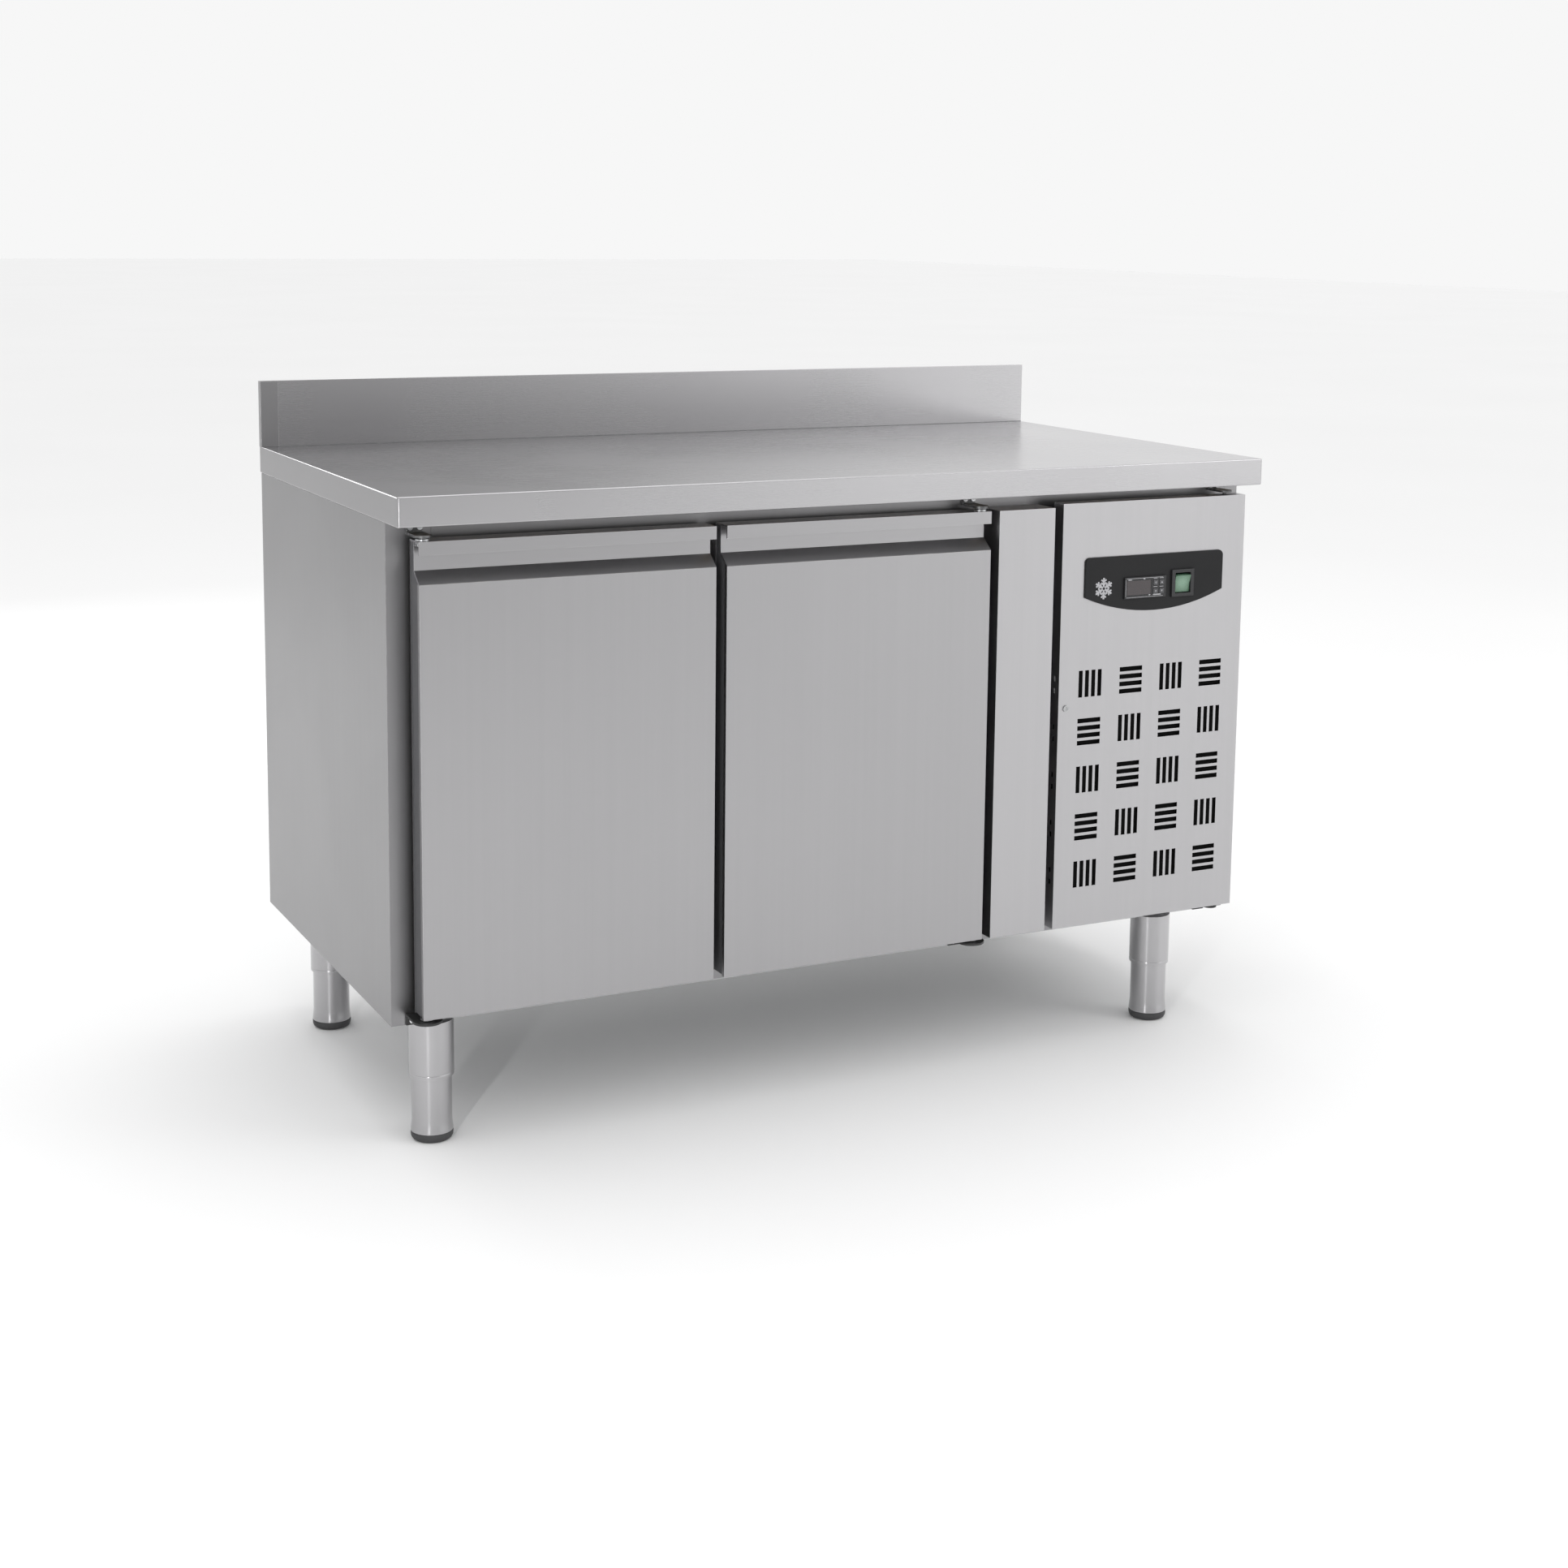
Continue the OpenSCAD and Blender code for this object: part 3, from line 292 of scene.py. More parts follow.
def pebbled_group():
    """The fine texture of moulded plastic, rubber, cast paint and foam."""
    tree, start, end = new_group(
        "pebbled",
        [("Vector", "NodeSocketVector", None), ("Scale", "NodeSocketFloat", 900.0)],
        [("Height", "NodeSocketFloat"), ("Tone", "NodeSocketFloat")],
    )
    cells = node(tree, "ShaderNodeTexVoronoi")
    noise = node(tree, "ShaderNodeTexNoise", {"Detail": 3.0})
    for texture in (cells, noise):
        tree.links.new(start.outputs["Vector"], texture.inputs["Vector"])
        tree.links.new(start.outputs["Scale"], texture.inputs["Scale"])
    height = maths(tree, "MULTIPLY", cells.outputs["Distance"], noise.outputs["Fac"])
    tree.links.new(height, end.inputs["Height"])
    tree.links.new(noise.outputs["Fac"], end.inputs["Tone"])
    return tree


BRUSHING = brushing_group()
HANDLING = handling_group()
EDGE_WEAR_AND_HIGHLIGHT = edge_wear_and_highlight_group()
PEBBLED = pebbled_group()


# ---------------------------------------------------------------- finishes

def new_finish(name):
    """A new material: itself, its tree, its shader and the piece's own coordinates for its textures."""
    material = bpy.data.materials.new(name)
    material.use_nodes = True
    tree = material.node_tree
    place = tree.nodes.new("ShaderNodeTexCoord").outputs["Object"]
    return material, tree, tree.nodes["Principled BSDF"], place


def use(tree, group, place, values=None):
    """A node group placed in a material, fed with a vector."""
    made = tree.nodes.new("ShaderNodeGroup")
    made.node_tree = group
    tree.links.new(place, made.inputs["Vector"])
    for key, value in (values or {}).items():
        made.inputs[key].default_value = value
    return made


def stretched(tree, place, scale):
    """The vector scaled along each axis; a small scale draws a pattern out that way."""
    mapping = node(tree, "ShaderNodeMapping", {"Scale": scale})
    tree.links.new(place, mapping.inputs["Vector"])
    return mapping.outputs["Vector"]


def blended(tree, factor, first, second):
    """A colour mixed from two colours by a mask."""
    mix = node(tree, "ShaderNodeMix", data_type="RGBA")
    tree.links.new(factor, mix.inputs["Factor"])
    for socket, colour in ((mix.inputs[6], first), (mix.inputs[7], second)):
        if isinstance(colour, tuple):
            socket.default_value = (*colour, 1)
        else:
            tree.links.new(colour, socket)
    return mix.outputs[2]


def ranged(tree, value, low, high):
    """A 0 to 1 value spread between two numbers."""
    made = node(tree, "ShaderNodeMapRange", {"To Min": low, "To Max": high})
    tree.links.new(value, made.inputs["Value"])
    return made.outputs["Result"]


def bumped(tree, shader, height, strength, distance):
    """Raises a surface by a height value."""
    bump = node(tree, "ShaderNodeBump", {"Strength": strength, "Distance": distance})
    tree.links.new(height, bump.inputs["Height"])
    tree.links.new(bump.outputs["Normal"], shader.inputs["Normal"])


# Texture scales per metre: fine across the brushing, long along it; round is for tubes turned about z.
GRAIN = {"x": (5, 900, 900), "y": (900, 5, 900), "z": (900, 900, 5), "round": (9, 9, 900)}


def brushed_steel(name, along, tone, roughness, depth=0.12, contrast=0.05):
    """Stainless sheet brushed along one axis, wiped clean, with its folds painted brighter: partly rubbed
    wear, partly a painted highlight.
    """
    dark_tint, light_tint = (1.0, 0.99, 1.012), (1.0, 0.99, 1.01)
    material, tree, shader, place = new_finish(name)
    shader.inputs["Metallic"].default_value = 1.0
    brush = use(tree, BRUSHING, stretched(tree, place, GRAIN[along]), {"Fineness": 1.0})
    hands = use(tree, HANDLING, place, {"Size": 2.6, "Amount": 1.0})
    wear_and_highlight = use(tree, EDGE_WEAR_AND_HIGHLIGHT, place, {"Width": 0.0016, "Breakup": 45.0})
    low = tuple(tone * c * (1 - contrast) for c in dark_tint)
    high = tuple(tone * c * (1 + contrast) for c in light_tint)
    marks = maths(tree, "ADD", maths(tree, "MULTIPLY", brush.outputs["Scratches"], 0.5),
                  maths(tree, "MULTIPLY", brush.outputs["Streaks"], 0.5))
    grain = blended(tree, marks, low, high)
    # Painted highlight: the edge mask lifts the colour by a quarter on the folds, partly rubbed wear and
    # partly a painted highlight.
    worn = blended(tree, wear_and_highlight.outputs["Wear_and_highlight"], grain, tuple(min(1.0, c * 1.25) for c in high))
    tree.links.new(worn, shader.inputs["Base Color"])
    dull = maths(tree, "ADD", ranged(tree, hands.outputs["Dullness"], roughness - 0.015, roughness + 0.025),
                 maths(tree, "MULTIPLY", brush.outputs["Scratches"], 0.06))
    tree.links.new(dull, shader.inputs["Roughness"])
    bumped(tree, shader, brush.outputs["Scratches"], depth, 0.0002)
    if along == "round":
        around = node(tree, "ShaderNodeTangent", direction_type="RADIAL", axis="Z")
        tree.links.new(around.outputs["Tangent"], shader.inputs["Tangent"])
        shader.inputs["Anisotropic"].default_value = 0.85
        shader.inputs["Anisotropic Rotation"].default_value = 0.25
    return material


def plated_steel(name, tone, roughness, spangle, contrast=0.1):
    """Zinc-coated steel with a crystal pattern of a given size."""
    material, tree, shader, place = new_finish(name)
    shader.inputs["Metallic"].default_value = 1.0
    crystals = node(tree, "ShaderNodeTexVoronoi", {"Scale": spangle})
    tree.links.new(place, crystals.inputs["Vector"])
    hands = use(tree, HANDLING, place, {"Size": 9.0, "Amount": 1.0})
    wear_and_highlight = use(tree, EDGE_WEAR_AND_HIGHLIGHT, place, {"Width": 0.0008, "Breakup": 120.0})
    tint = node(tree, "ShaderNodeSeparateColor")
    tree.links.new(crystals.outputs["Color"], tint.inputs["Color"])
    low = tuple(tone * (1 - contrast) * c for c in (0.96, 0.98, 1.0))
    high = tuple(tone * (1 + contrast) * c for c in (0.98, 0.99, 1.0))
    zinc = blended(tree, tint.outputs["Red"], low, high)
    tree.links.new(blended(tree, wear_and_highlight.outputs["Wear_and_highlight"], zinc, (0.75, 0.75, 0.75)), shader.inputs["Base Color"])
    dull = ranged(tree, hands.outputs["Dullness"], roughness, roughness + 0.15)
    tree.links.new(dull, shader.inputs["Roughness"])
    bumped(tree, shader, tint.outputs["Green"], 0.05, 0.0002)
    return material


def bare_metal(name, colour, dark, roughness, scale):
    """Bare copper or aluminium with a cloudy film of oxide."""
    material, tree, shader, place = new_finish(name)
    shader.inputs["Metallic"].default_value = 1.0
    film = use(tree, HANDLING, place, {"Size": scale, "Amount": 1.0})
    brush = use(tree, BRUSHING, stretched(tree, place, (300, 300, 300)), {"Fineness": 1.0})
    tree.links.new(blended(tree, film.outputs["Dullness"], colour, dark), shader.inputs["Base Color"])
    dull = ranged(tree, film.outputs["Dullness"], roughness, roughness + 0.2)
    tree.links.new(dull, shader.inputs["Roughness"])
    bumped(tree, shader, brush.outputs["Scratches"], 0.06, 0.0002)
    return material


def moulded_plastic(name, colour, roughness, texture=900.0, worn=(0.2, 0.2, 0.2), depth=0.15,
                    coat=0.0, specular=0.5):
    """Moulded plastic or enamel: fine texture, slightly polished where it is touched."""
    material, tree, shader, place = new_finish(name)
    pebbles = use(tree, PEBBLED, place, {"Scale": texture})
    hands = use(tree, HANDLING, place, {"Size": 12.0, "Amount": 1.0})
    wear_and_highlight = use(tree, EDGE_WEAR_AND_HIGHLIGHT, place, {"Width": 0.0007, "Breakup": 150.0})
    low, high = tuple(c * 0.9 for c in colour), tuple(c * 1.12 for c in colour)
    shade = blended(tree, pebbles.outputs["Tone"], low, high)
    rubbed = maths(tree, "MULTIPLY", wear_and_highlight.outputs["Wear_and_highlight"], 0.5)
    tree.links.new(blended(tree, rubbed, shade, worn), shader.inputs["Base Color"])
    dull = ranged(tree, hands.outputs["Dullness"], roughness, roughness + 0.12)
    tree.links.new(dull, shader.inputs["Roughness"])
    shader.inputs["Coat Weight"].default_value = coat
    shader.inputs["Specular IOR Level"].default_value = specular
    bumped(tree, shader, pebbles.outputs["Height"], depth, 0.0003)
    return material


def particle_board_finish():
    """Pressed wood chips of the board under the worktop's sheet."""
    material, tree, shader, place = new_finish("particle_board")
    chips = node(tree, "ShaderNodeTexVoronoi", {"Scale": 240.0})
    tree.links.new(stretched(tree, place, (1.0, 0.45, 1.0)), chips.inputs["Vector"])
    hue = node(tree, "ShaderNodeSeparateColor")
    tree.links.new(chips.outputs["Color"], hue.inputs["Color"])
    tree.links.new(blended(tree, hue.outputs["Red"], (0.36, 0.24, 0.13), (0.68, 0.52, 0.33)),
                   shader.inputs["Base Color"])
    tree.links.new(ranged(tree, hue.outputs["Green"], 0.7, 0.9), shader.inputs["Roughness"])
    bumped(tree, shader, chips.outputs["Distance"], 0.4, 0.0005)
    return material


def lit_green_finish():
    """The rocker's clear green cap with a lamp behind its middle; the cap's base colour is painted lighter
    round the lamp as a painted glow.
    """
    bezel, bezel_front = centre("rocker_bezel"), corners("rocker_bezel")[0].y
    lamp = Vector((bezel.x, bezel_front + 1.5, bezel.z)) * MM
    material, tree, shader, place = new_finish("lit_green")
    pebbles = use(tree, PEBBLED, place, {"Scale": 700.0})
    from_lamp = node(tree, "ShaderNodeMapping", {"Location": -lamp})
    tree.links.new(place, from_lamp.inputs["Vector"])
    away = node(tree, "ShaderNodeVectorMath", operation="LENGTH")
    tree.links.new(from_lamp.outputs["Vector"], away.inputs[0])
    glow = node(tree, "ShaderNodeMapRange", {"From Min": 0.017, "From Max": 0.004})
    tree.links.new(away.outputs["Value"], glow.inputs["Value"])
    # Painted light: the cap's base colour turns lighter round the lamp, a painted pool of its light beside
    # the emission.
    cap = blended(tree, glow.outputs["Result"], (0.07, 0.15, 0.09), (0.17, 0.27, 0.2))
    tree.links.new(cap, shader.inputs["Base Color"])
    tree.links.new(blended(tree, glow.outputs["Result"], (0.0, 0.005, 0.002), (0.02, 0.045, 0.028)),
                   shader.inputs["Emission Color"])
    shader.inputs["Emission Strength"].default_value = 1.0
    tree.links.new(ranged(tree, pebbles.outputs["Tone"], 0.22, 0.34), shader.inputs["Roughness"])
    shader.inputs["Coat Weight"].default_value = 0.3
    bumped(tree, shader, pebbles.outputs["Height"], 0.05, 0.0002)
    return material


FINISH = {
    # The stainless tones are lit and shaded copies of one steel: side_steel is painted darker as painted
    # shade on the sides and the frame pieces that share it, and panel_steel is painted lighter as painted
    # light on the panels at the right-hand end.
    "door_steel": brushed_steel("door_steel", "z", 0.405, 0.30),
    "side_steel": brushed_steel("side_steel", "z", 0.285, 0.30),
    "panel_steel": brushed_steel("panel_steel", "z", 0.47, 0.30),
    "band_steel": brushed_steel("band_steel", "x", 0.39, 0.27),
    "worktop_steel": brushed_steel("worktop_steel", "x", 0.465, 0.24, 0.05, 0.015),
    # Painted shade: the worktop's end faces get a darker copy of the worktop steel, for the shade on faces
    # turned to the side.
    "edge_steel": brushed_steel("edge_steel", "y", 0.34, 0.28, 0.05, 0.02),
    # Painted reflection: the end plate is a darker copy of the steel, standing in for a darker reflection on
    # the upstand's left end.
    "end_steel": brushed_steel("end_steel", "z", 0.36, 0.3),
    "liner_steel": brushed_steel("liner_steel", "y", 0.6, 0.32),
    "leg_steel": brushed_steel("leg_steel", "round", 0.48, 0.2, 0.0, 0.02),
    "shelf_wire": bare_metal("shelf_wire", (0.78, 0.78, 0.78), (0.62, 0.62, 0.62), 0.14, 20.0),
    "galvanised": plated_steel("galvanised", 0.46, 0.36, 90.0, 0.06),
    "zinc_plate": plated_steel("zinc_plate", 0.68, 0.24, 400.0),
    # Painted shade: near-black zinc for the upper hinge brackets and the crease bead, so they read as the
    # shade in their gaps.
    "shade_dark_zinc": plated_steel("shade_dark_zinc", 0.16, 0.34, 400.0),
    "copper": bare_metal("copper", (0.78, 0.42, 0.27), (0.45, 0.22, 0.13), 0.22, 14.0),
    "aluminium": bare_metal("aluminium", (0.8, 0.81, 0.82), (0.62, 0.63, 0.64), 0.26, 16.0),
    "black_paint": moulded_plastic("black_paint", (0.02, 0.02, 0.02), 0.32, 500.0, (0.12, 0.12, 0.12), 0.1),
    "fascia_black": moulded_plastic("fascia_black", (0.014, 0.014, 0.015), 0.42, 1300.0,
                                    (0.04, 0.04, 0.04), 0.08, specular=0.22),
    "frame_black": moulded_plastic("frame_black", (0.018, 0.018, 0.02), 0.3, 1300.0,
                                   (0.08, 0.08, 0.08), 0.05),
    "fan_black": moulded_plastic("fan_black", (0.03, 0.03, 0.03), 0.45, 900.0),
    "dark_plastic": moulded_plastic("dark_plastic", (0.085, 0.085, 0.09), 0.42, 900.0),
    # Near-black foam behind the service slots: partly the foam's own colour, partly painted shade of the
    # machine space.
    "filter_foam": moulded_plastic("filter_foam", (0.006, 0.006, 0.006), 0.9, 420.0,
                                   (0.02, 0.02, 0.02), 0.8, specular=0.1),
    "pad_rubber": moulded_plastic("pad_rubber", (0.05, 0.05, 0.052), 0.55, 700.0, (0.12, 0.12, 0.12), 0.3),
    "key_grey": moulded_plastic("key_grey", (0.07, 0.07, 0.075), 0.4, 1200.0, (0.2, 0.2, 0.2), 0.1),
    "foam": moulded_plastic("foam", (0.80, 0.70, 0.44), 0.85, 260.0, (0.85, 0.78, 0.55), 0.5),
    "mark_grey": moulded_plastic("mark_grey", (0.42, 0.42, 0.44), 0.5, 1500.0, (0.5, 0.5, 0.5), 0.05),
    "display_glass": moulded_plastic("display_glass", (0.03, 0.022, 0.024), 0.12, 200.0,
                                     (0.05, 0.05, 0.05), 0.01, coat=0.6),
    "particle_board": particle_board_finish(),
    "lit_green": lit_green_finish(),
}


# ---------------------------------------------------------------- workshop helpers

def only(piece):
    """Makes one piece the selected and active one."""
    bpy.ops.object.select_all(action="DESELECT")
    piece.select_set(True)
    bpy.context.view_layer.objects.active = piece


@contextmanager
def editing(piece):
    """Edit mode on one piece, with all of it selected."""
    only(piece)
    bpy.ops.object.mode_set(mode="EDIT")
    bpy.ops.mesh.select_all(action="SELECT")
    yield
    bpy.ops.object.mode_set(mode="OBJECT")


def settle(piece):
    """Puts a piece's place, turn and size into its mesh."""
    only(piece)
    bpy.ops.object.transform_apply(location=True, rotation=True, scale=True)


def dress(piece, finish):
    """Gives a piece one finish."""
    piece.data.materials.clear()
    piece.data.materials.append(FINISH[finish])


def smooth(piece, angle=40):
    """Shades a piece smooth over its small bends and keeps its flat faces flat."""
    only(piece)
    bpy.ops.object.shade_smooth_by_angle(angle=math.radians(angle))
    even = piece.modifiers.new("even_flats", "WEIGHTED_NORMAL")
    even.keep_sharp = True
    bpy.ops.object.modifier_apply(modifier=even.name)


def fit(piece, name, body, finish):
    """Names a finished piece, dresses it and hangs it on its body."""
    piece.name = piece.data.name = name
    dress(piece, finish)
    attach(piece, body)
    return piece


def block(x0, x1, y0, y1, z0, z1):
    """A block between two corners, in millimetres, to be shaped further."""
    bpy.ops.object.select_all(action="DESELECT")
    bpy.ops.mesh.primitive_cube_add(
        size=1, location=((x0 + x1) / 2 * MM, (y0 + y1) / 2 * MM, (z0 + z1) / 2 * MM),
        scale=((x1 - x0) * MM, (y1 - y0) * MM, (z1 - z0) * MM))
    piece = bpy.context.object
    settle(piece)
    return piece


def chamfer(piece, width, segments=2, angle=30):
    """Rounds every sharp edge of a piece, then shades it."""
    only(piece)
    rim = piece.modifiers.new("rim", "BEVEL")
    rim.width = width * MM
    rim.segments = segments
    rim.limit_method = "ANGLE"
    rim.angle_limit = math.radians(angle)
    bpy.ops.object.modifier_apply(modifier=rim.name)
    smooth(piece)


def pick(piece, kind, test):
    """In edit mode, selects the faces or edges whose middle and direction pass a test."""
    bpy.ops.mesh.select_mode(type="FACE" if kind == "faces" else "EDGE")
    bpy.ops.mesh.select_all(action="DESELECT")
    mesh = bmesh.from_edit_mesh(piece.data)
    for part in getattr(mesh, kind):
        if kind == "faces":
            chosen = test(part.calc_center_median() / MM, part.normal)
        else:
            ends = [v.co / MM for v in part.verts]
            chosen = test((ends[0] + ends[1]) / 2, ends[1] - ends[0])
        if chosen:
            part.select_set(True)
    bmesh.update_edit_mesh(piece.data)


def sheet_copy(name):
    """A merged copy of a CAD node, ready to have its folds rounded."""
    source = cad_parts[name]
    piece = bpy.data.objects.new(name + "_sheet", source.data.copy())
    bpy.context.scene.collection.objects.link(piece)
    with editing(piece):
        bpy.ops.mesh.remove_doubles(threshold=0.000002)
        bpy.ops.mesh.dissolve_limited(angle_limit=math.radians(2))
    return piece


def folded(name, body, finish, radius, segments=2, outer=None):
    """A CAD sheet with rounded folds; outer is (radius, test) for the wide bends of its visible edges."""
    piece = sheet_copy(name)
    if outer:
        with editing(piece):
            pick(piece, "edges", outer[1])
            bpy.ops.mesh.bevel(offset=outer[0] * MM, segments=4, affect="EDGES")
    chamfer(piece, radius, segments)
    fit(piece, name + "_sheet", body, finish)
    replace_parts(piece, name)
    return piece


def turned(centre, rings, steps=64):
    """A body of revolution about a vertical line: (radius, height) rings in order, closed on itself."""
    x, y = centre[0] * MM, centre[1] * MM
    bpy.ops.object.select_all(action="DESELECT")
    radius, height = rings[0]
    bpy.ops.mesh.primitive_circle_add(vertices=steps, radius=radius * MM, location=(x, y, height * MM))
    piece = bpy.context.object
    settle(piece)
    with editing(piece):
        bpy.ops.mesh.select_mode(type="EDGE")
        bpy.ops.mesh.select_all(action="SELECT")
        for next_radius, next_height in rings[1:] + rings[:1]:
            bpy.ops.mesh.extrude_edges_move(
                TRANSFORM_OT_translate={"value": (0, 0, (next_height - height) * MM)})
            grow = next_radius / radius
            bpy.ops.transform.resize(value=(grow, grow, 1), center_override=(x, y, next_height * MM))
            radius, height = next_radius, next_height
        bpy.ops.mesh.select_all(action="SELECT")
        bpy.ops.mesh.remove_doubles(threshold=0.000005)
        bpy.ops.mesh.normals_make_consistent(inside=False)
    return piece


def joined(pieces):
    """Several pieces made into one mesh."""
    bpy.ops.object.select_all(action="DESELECT")
    for piece in pieces:
        piece.select_set(True)
    bpy.context.view_layer.objects.active = pieces[0]
    bpy.ops.object.join()
    return bpy.context.object


# ---------------------------------------------------------------- plain CAD nodes and their finishes

KEPT = {
    "insulation": "foam", "door_left_foam": "foam", "door_right_foam": "foam",
    "worktop_core": "particle_board", "rear_grille": "side_steel",
    "back_panel": "galvanised", "base_panel": "galvanised", "machine_partition": "galvanised",
    "front_frame": "side_steel", "center_mullion": "side_steel", "inner_liner": "liner_steel",
    "shelf_uprights": "galvanised", "shelf_runners": "liner_steel",
    "shelf_left": "shelf_wire", "shelf_right": "shelf_wire",
    "evaporator": "aluminium", "evaporator_cover": "liner_steel", "evaporator_fan": "fan_black",
    "drip_tray": "aluminium", "fan_motors": "black_paint", "compressor": "black_paint",
    # The condenser is dressed black: partly its own black paint, partly painted shade of the dark machine
    # space seen through the slots.
    "condenser": "black_paint", "condenser_fan": "fan_black", "refrigerant_pipes": "copper",
    "condensate_tray": "dark_plastic", "electrical_box": "dark_plastic", "cable_gland": "fan_black",
    # Painted shade: the upper hinge brackets are dressed near-black so they sit in the gap's shade.
    "hinge_brackets_upper": "shade_dark_zinc", "hinge_brackets_lower": "black_paint",
    "bracket_screws": "zinc_plate", "panel_screw": "galvanised",
    "door_left_bushes": "zinc_plate", "door_right_bushes": "zinc_plate",
}

# The nodes not named here are those that a finished piece replaces further down, and the two door seals.
for cad_name, cad_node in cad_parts.items():
    dress(cad_node, KEPT.get(cad_name, "door_steel"))


# ---------------------------------------------------------------- steel sheets

UPSTAND_H, UPSTAND_D = 100, 12


def worktop_sheet():
    """The worktop: broad bends on its outer edges, tight ones inside, its ends brushed the other way and
    painted darker as painted shade.
    """
    low, high = corners("worktop")
    top = high.z - UPSTAND_H
    reach, clear_of_upstand = 3.1, high.y - 50

    def outside(middle, along):
        level = abs(along.z) < 0.01
        rim = middle.x < low.x + reach or middle.x > high.x - reach or middle.y < low.y + reach
        back = middle.y > high.y - reach
        upper = rim and middle.y < clear_of_upstand and abs(middle.z - top) < 0.1
        return level and (upper or (rim or back) and abs(middle.z - low.z) < 0.1)

    piece = folded("worktop", "cabinet", "worktop_steel", 0.5, 2, (2.0, outside))
    piece.data.materials.append(FINISH["edge_steel"])
    with editing(piece):
        pick(piece, "faces", lambda middle, normal: abs(normal.x) > 0.9 and abs(middle.x) > high.x - 1)
        piece.active_material_index = 1
        bpy.ops.object.material_slot_assign()


def upstand_end():
    """The plate over the left end of the upstand, painted darker as a painted reflection, and a dark bead
    along the upstand's foot that is painted shade in the crease.
    """
    low, high = corners("worktop")
    top = high.z - UPSTAND_H
    front = high.y - UPSTAND_D
    plate_w, gap = 27.0, 0.1
    # Painted reflection: this plate's darker steel stands in for a darker reflection at the upstand's end.
    plate = block(low.x + gap, low.x + plate_w, front - 0.5, high.y - gap, top + gap, high.z - gap)
    chamfer(plate, 0.4, 2)
    fit(plate, "upstand_end", "cabinet", "end_steel")
    # Painted shade: a thin dark bead in the crease between upstand and worktop, standing in for the shade
    # there.
    crease_shade = block(low.x + plate_w + 0.5, high.x - 0.5, front - 0.9, front + 0.3, top - 0.3, top + 0.9)
    with editing(crease_shade):
        pick(crease_shade, "edges", lambda middle, along: middle.y < front - 0.5 and middle.z > top + 0.5)
        bpy.ops.mesh.bevel(offset=0.8 * MM, segments=3, affect="EDGES")
    smooth(crease_shade)
    fit(crease_shade, "upstand_crease_shade", "cabinet", "shade_dark_zinc")


worktop_sheet()
upstand_end()
for side in ("left", "right"):
    folded("side_panel_" + side, "cabinet", "side_steel", 0.45)
    folded("door_" + side + "_skin", "door_" + side, "door_steel", 0.45)
    folded("door_" + side + "_handle", "door_" + side, "band_steel", 0.6)
    folded("door_" + side + "_inner", "door_" + side, "dark_plastic", 0.5)
folded("blank_panel", "cabinet", "panel_steel", 0.45)
folded("service_panel", "service_door", "panel_steel", 0.25, 1)
folded("control_fascia", "service_door", "fascia_black", 0.6)
folded("thermostat", "service_door", "frame_black", 0.5)
folded("thermostat_lens", "service_door", "display_glass", 0.25)
folded("rocker_bezel", "service_door", "frame_black", 0.7)
folded("rocker", "rocker", "lit_green", 0.8, 3)
for key in ("key_set", "key_up", "key_down", "key_defrost"):
    folded(key, key, "key_grey", 0.6)


# ---------------------------------------------------------------- legs

LEGS = {}
for corner in ("front_left", "front_right", "rear_left", "rear_right"):
    middle = centre("foot_" + corner)
    LEGS[corner] = (round(middle.x), round(middle.y))


def leg_sleeve(name, x, y):
    """The fixed upper tube of a leg: a groove and a rolled rim below, and the threaded rod inside."""
    outside = [(30.5, 168.6), (30.5, 97.0), (30.1, 96.2), (30.1, 95.2), (30.5, 94.4), (30.5, 91.0)]
    rim = [(30.1, 90.2), (29.2, 90.0), (27.7, 90.2), (27.42, 91.0)]
    inside_and_rod = [(27.42, 163.0), (6.0, 163.0), (6.0, 109.6), (5.2, 109.0), (0.01, 109.0),
                      (0.01, 168.8), (29.8, 168.8)]
    sleeve = turned((x, y), outside + rim + inside_and_rod)
    smooth(sleeve, 35)
    fit(sleeve, "leg_sleeve_" + name, "cabinet", "leg_steel")
    return sleeve


def foot_tube(name, x, y):
    """The moving lower tube with its flared end and the nut plate inside."""
    flare = [(25.8, 16.0), (26.4, 12.4), (28.2, 12.0), (28.8, 12.6), (28.7, 15.0), (28.2, 19.0),
             (27.6, 24.0), (27.3, 29.0)]
    upper_rim = [(27.3, 154.2), (26.9, 155.0), (26.2, 155.0), (25.8, 154.4)]
    nut_plate = [(25.8, 148.0), (6.07, 148.0), (6.07, 143.0), (25.8, 143.0)]
    tube = turned((x, y), flare + upper_rim + nut_plate)
    smooth(tube, 35)
    fit(tube, "foot_tube_" + name, "foot_" + name, "leg_steel")
    return tube


def foot_pad(name, x, y):
    """The dark plug that stands on the floor, with a rounded rim and a shallow ring underneath."""
    underside = [(0.01, 0.6), (13.0, 0.6), (14.0, 0.0), (22.0, 0.0)]
    rim = [(24.8, 0.5), (27.0, 2.2), (28.3, 4.6), (28.8, 7.4), (28.8, 10.4), (28.3, 11.6), (27.0, 11.9)]
    plug = [(25.6, 12.4), (25.4, 16.0), (0.01, 16.0)]
    pad = turned((x, y), underside + rim + plug)
    smooth(pad, 35)
    fit(pad, "foot_pad_" + name, "foot_" + name, "pad_rubber")
    return pad


sleeves = [leg_sleeve(name, *place) for name, place in LEGS.items()]
for sleeve in sleeves:
    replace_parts(sleeve, "leg_sleeves")
for name, place in LEGS.items():
    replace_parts(foot_tube(name, *place), "foot_" + name)
    foot_pad(name, *place)


# ---------------------------------------------------------------- control plate details

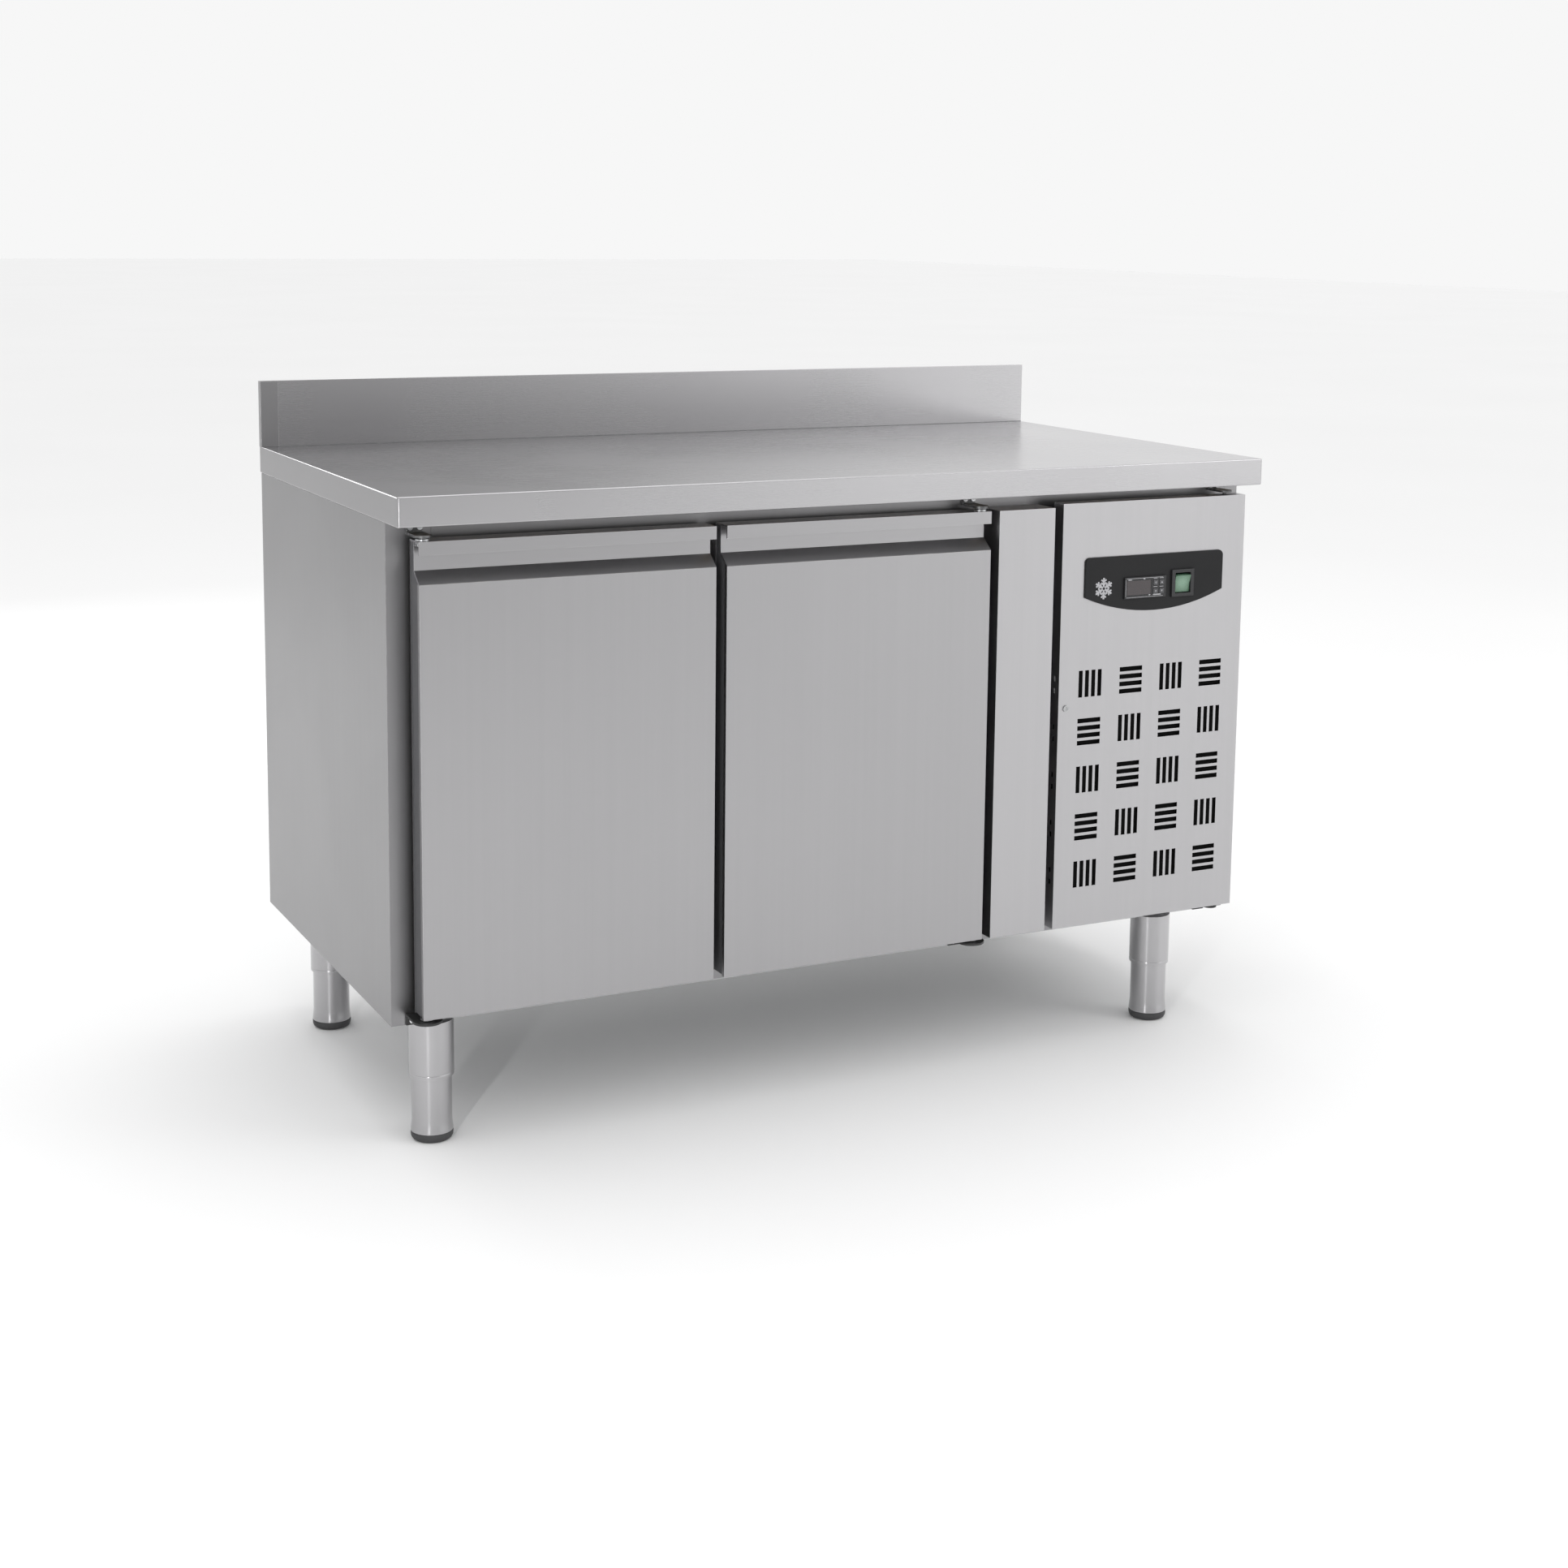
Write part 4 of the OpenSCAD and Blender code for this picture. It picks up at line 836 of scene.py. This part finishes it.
def snowflake():
    """The cold sign on the control plate: six arms, each with two pairs of twigs."""
    plate = corners("control_fascia")[0]
    x, z, front = plate.x + 32, plate.z + 38, plate.y
    arm_half, arm_length = 1.5, 16.0
    twig_half, twig_length = 1.25, 5.5
    arms = []
    for turn in range(6):
        bars = [block(x - arm_half, x + arm_half, front - 0.45, front + 0.2, z, z + arm_length)]
        for height in (5.5, 10.0):
            for lean in (-1, 1):
                twig = block(x - twig_half, x + twig_half, front - 0.4, front + 0.2,
                             z + height - 0.5, z + height + twig_length)
                with editing(twig):
                    bpy.ops.transform.rotate(value=lean * math.radians(52), orient_axis="Y",
                                             center_override=(x * MM, front * MM, (z + height) * MM))
                bars.append(twig)
        arm = joined(bars)
        with editing(arm):
            bpy.ops.transform.rotate(value=math.radians(60 * turn), orient_axis="Y",
                                     center_override=(x * MM, front * MM, z * MM))
        arms.append(arm)
    flake = joined(arms)
    chamfer(flake, 0.15, 1)
    fit(flake, "snowflake", "service_door", "mark_grey")


def display_marks():
    """A thin light line round the display and short plain marks beside the keys and lamps."""
    low, high = corners("thermostat")
    front, inset, line = low.y, 1.5, 0.55
    x0, x1, z0, z1 = low.x + inset, high.x - inset, low.z + inset, high.z - inset
    marks = [block(x0, x0 + line, front - 0.12, front + 0.3, z0 + 2, z1 - 2),
             block(x0 + 1.5, x1 - 4, front - 0.12, front + 0.3, z1 - line, z1),
             block(x0 + 1.5, x1 - 4, front - 0.12, front + 0.3, z0, z0 + line)]
    for x, z, w, h in ((6, 27.6, 6, 1.4), (33, 28.2, 3, 1.6), (51.4, 28.4, 7.0, 0.8), (62.4, 28.4, 7.0, 0.8),
                       (51.4, 15.6, 7.0, 0.8), (62.4, 15.6, 7.0, 0.8), (43, 3.8, 3, 1.2), (51, 3.4, 14, 1.7)):
        marks.append(block(low.x + x, low.x + x + w, front - 0.15, front + 0.3, low.z + z, low.z + z + h))
    outline = joined(marks)
    chamfer(outline, 0.06, 1)
    fit(outline, "display_marks", "service_door", "mark_grey")


def key_mark(key, shape):
    """A small raised sign in the middle of a key: an arrow up, an arrow down or a dot."""
    x, z, front = centre(key).x, centre(key).z, corners(key)[0].y
    if shape in ("up", "down"):
        sign = block(x - 1.5, x + 1.5, front - 0.12, front + 0.2, z - 1.2, z + 1.2)
        tip = 1 if shape == "up" else -1
        with editing(sign):
            pick(sign, "faces", lambda middle, normal: normal.z * tip > 0.9)
            bpy.ops.transform.resize(value=(0.08, 1, 1), center_override=(x * MM, front * MM, z * MM))
    else:
        sign = turned((x, z), [(1.3, 0.0), (1.3, 0.32), (0.8, 0.32), (0.8, 0.0)], 20)
        sign.rotation_euler = (math.radians(90), 0, 0)
        settle(sign)
        with editing(sign):
            bpy.ops.transform.translate(value=(0, (front + 0.2) * MM, 0))
    chamfer(sign, 0.05, 1)
    fit(sign, key + "_mark", key, "mark_grey")


snowflake()
display_marks()
key_mark("key_set", "dot")
key_mark("key_up", "up")
key_mark("key_defrost", "dot")
key_mark("key_down", "down")


# ---------------------------------------------------------------- details behind the doors and the panel

def dust_filter():
    """A near-black foam pad in a thin frame behind the slots of the service panel: partly the foam's own
    colour, partly painted shade of the machine space behind the slots.
    """
    low, high = corners("service_panel")
    x0, x1, z0, z1 = low.x + 25, high.x - 31, low.z + 55, low.z + 401
    frame_w, step_w, step_d = 7, 1.5, 1.2
    pad = block(x0, x1, low.y + 4.5, low.y + 9, z0, z1)
    with editing(pad):
        pick(pad, "faces", lambda middle, normal: abs(normal.y) > 0.9)
        bpy.ops.mesh.inset(thickness=frame_w * MM, depth=0, use_individual=True)
        pick(pad, "faces", lambda middle, normal: abs(normal.y) > 0.9
             and x0 + frame_w < middle.x < x1 - frame_w and z0 + frame_w < middle.z < z1 - frame_w)
        bpy.ops.mesh.inset(thickness=step_w * MM, depth=-step_d * MM, use_individual=True)
    chamfer(pad, 0.4, 1)
    fit(pad, "dust_filter", "service_door", "filter_foam")


def door_border(side):
    """The raised border moulded into a door's inner tray, inside its seal."""
    low, high = corners("door_" + side + "_inner")
    from_side, from_foot, from_head = 26, 34, 36
    border_w, rise, sunk = 14, 2.2, 1.6
    border = block(low.x + from_side, high.x - from_side, high.y - 0.4, high.y + rise,
                   low.z + from_foot, high.z - from_head)
    with editing(border):
        pick(border, "faces", lambda middle, normal: normal.y > 0.9)
        bpy.ops.mesh.inset(thickness=border_w * MM, depth=0)
        bpy.ops.transform.translate(value=(0, -sunk * MM, 0))
    chamfer(border, 0.5, 2)
    fit(border, "door_" + side + "_border", "door_" + side, "dark_plastic")


def condenser_bends():
    """The copper return bends that join the condenser's tubes along its left side."""
    low = corners("condenser")[0]
    x, y = low.x - 0.2, low.y + 29
    bend_r, tube_r = 9, 3
    count, first, pitch = 5, 68, 50
    bends = []
    for step in range(count):
        z = low.z + first + step * pitch
        bpy.ops.object.select_all(action="DESELECT")
        bpy.ops.mesh.primitive_torus_add(
            major_radius=bend_r * MM, minor_radius=tube_r * MM, major_segments=40, minor_segments=16,
            location=(x * MM, y * MM, z * MM), rotation=(math.radians(90), 0, 0))
        bend = bpy.context.object
        settle(bend)
        with editing(bend):
            bpy.ops.mesh.bisect(plane_co=(x * MM, y * MM, z * MM), plane_no=(1, 0, 0), clear_outer=True,
                                use_fill=True)
        bends.append(bend)
    coil = joined(bends)
    smooth(coil, 35)
    fit(coil, "condenser_bends", "cabinet", "copper")


dust_filter()
condenser_bends()
door_border("left")
door_border("right")
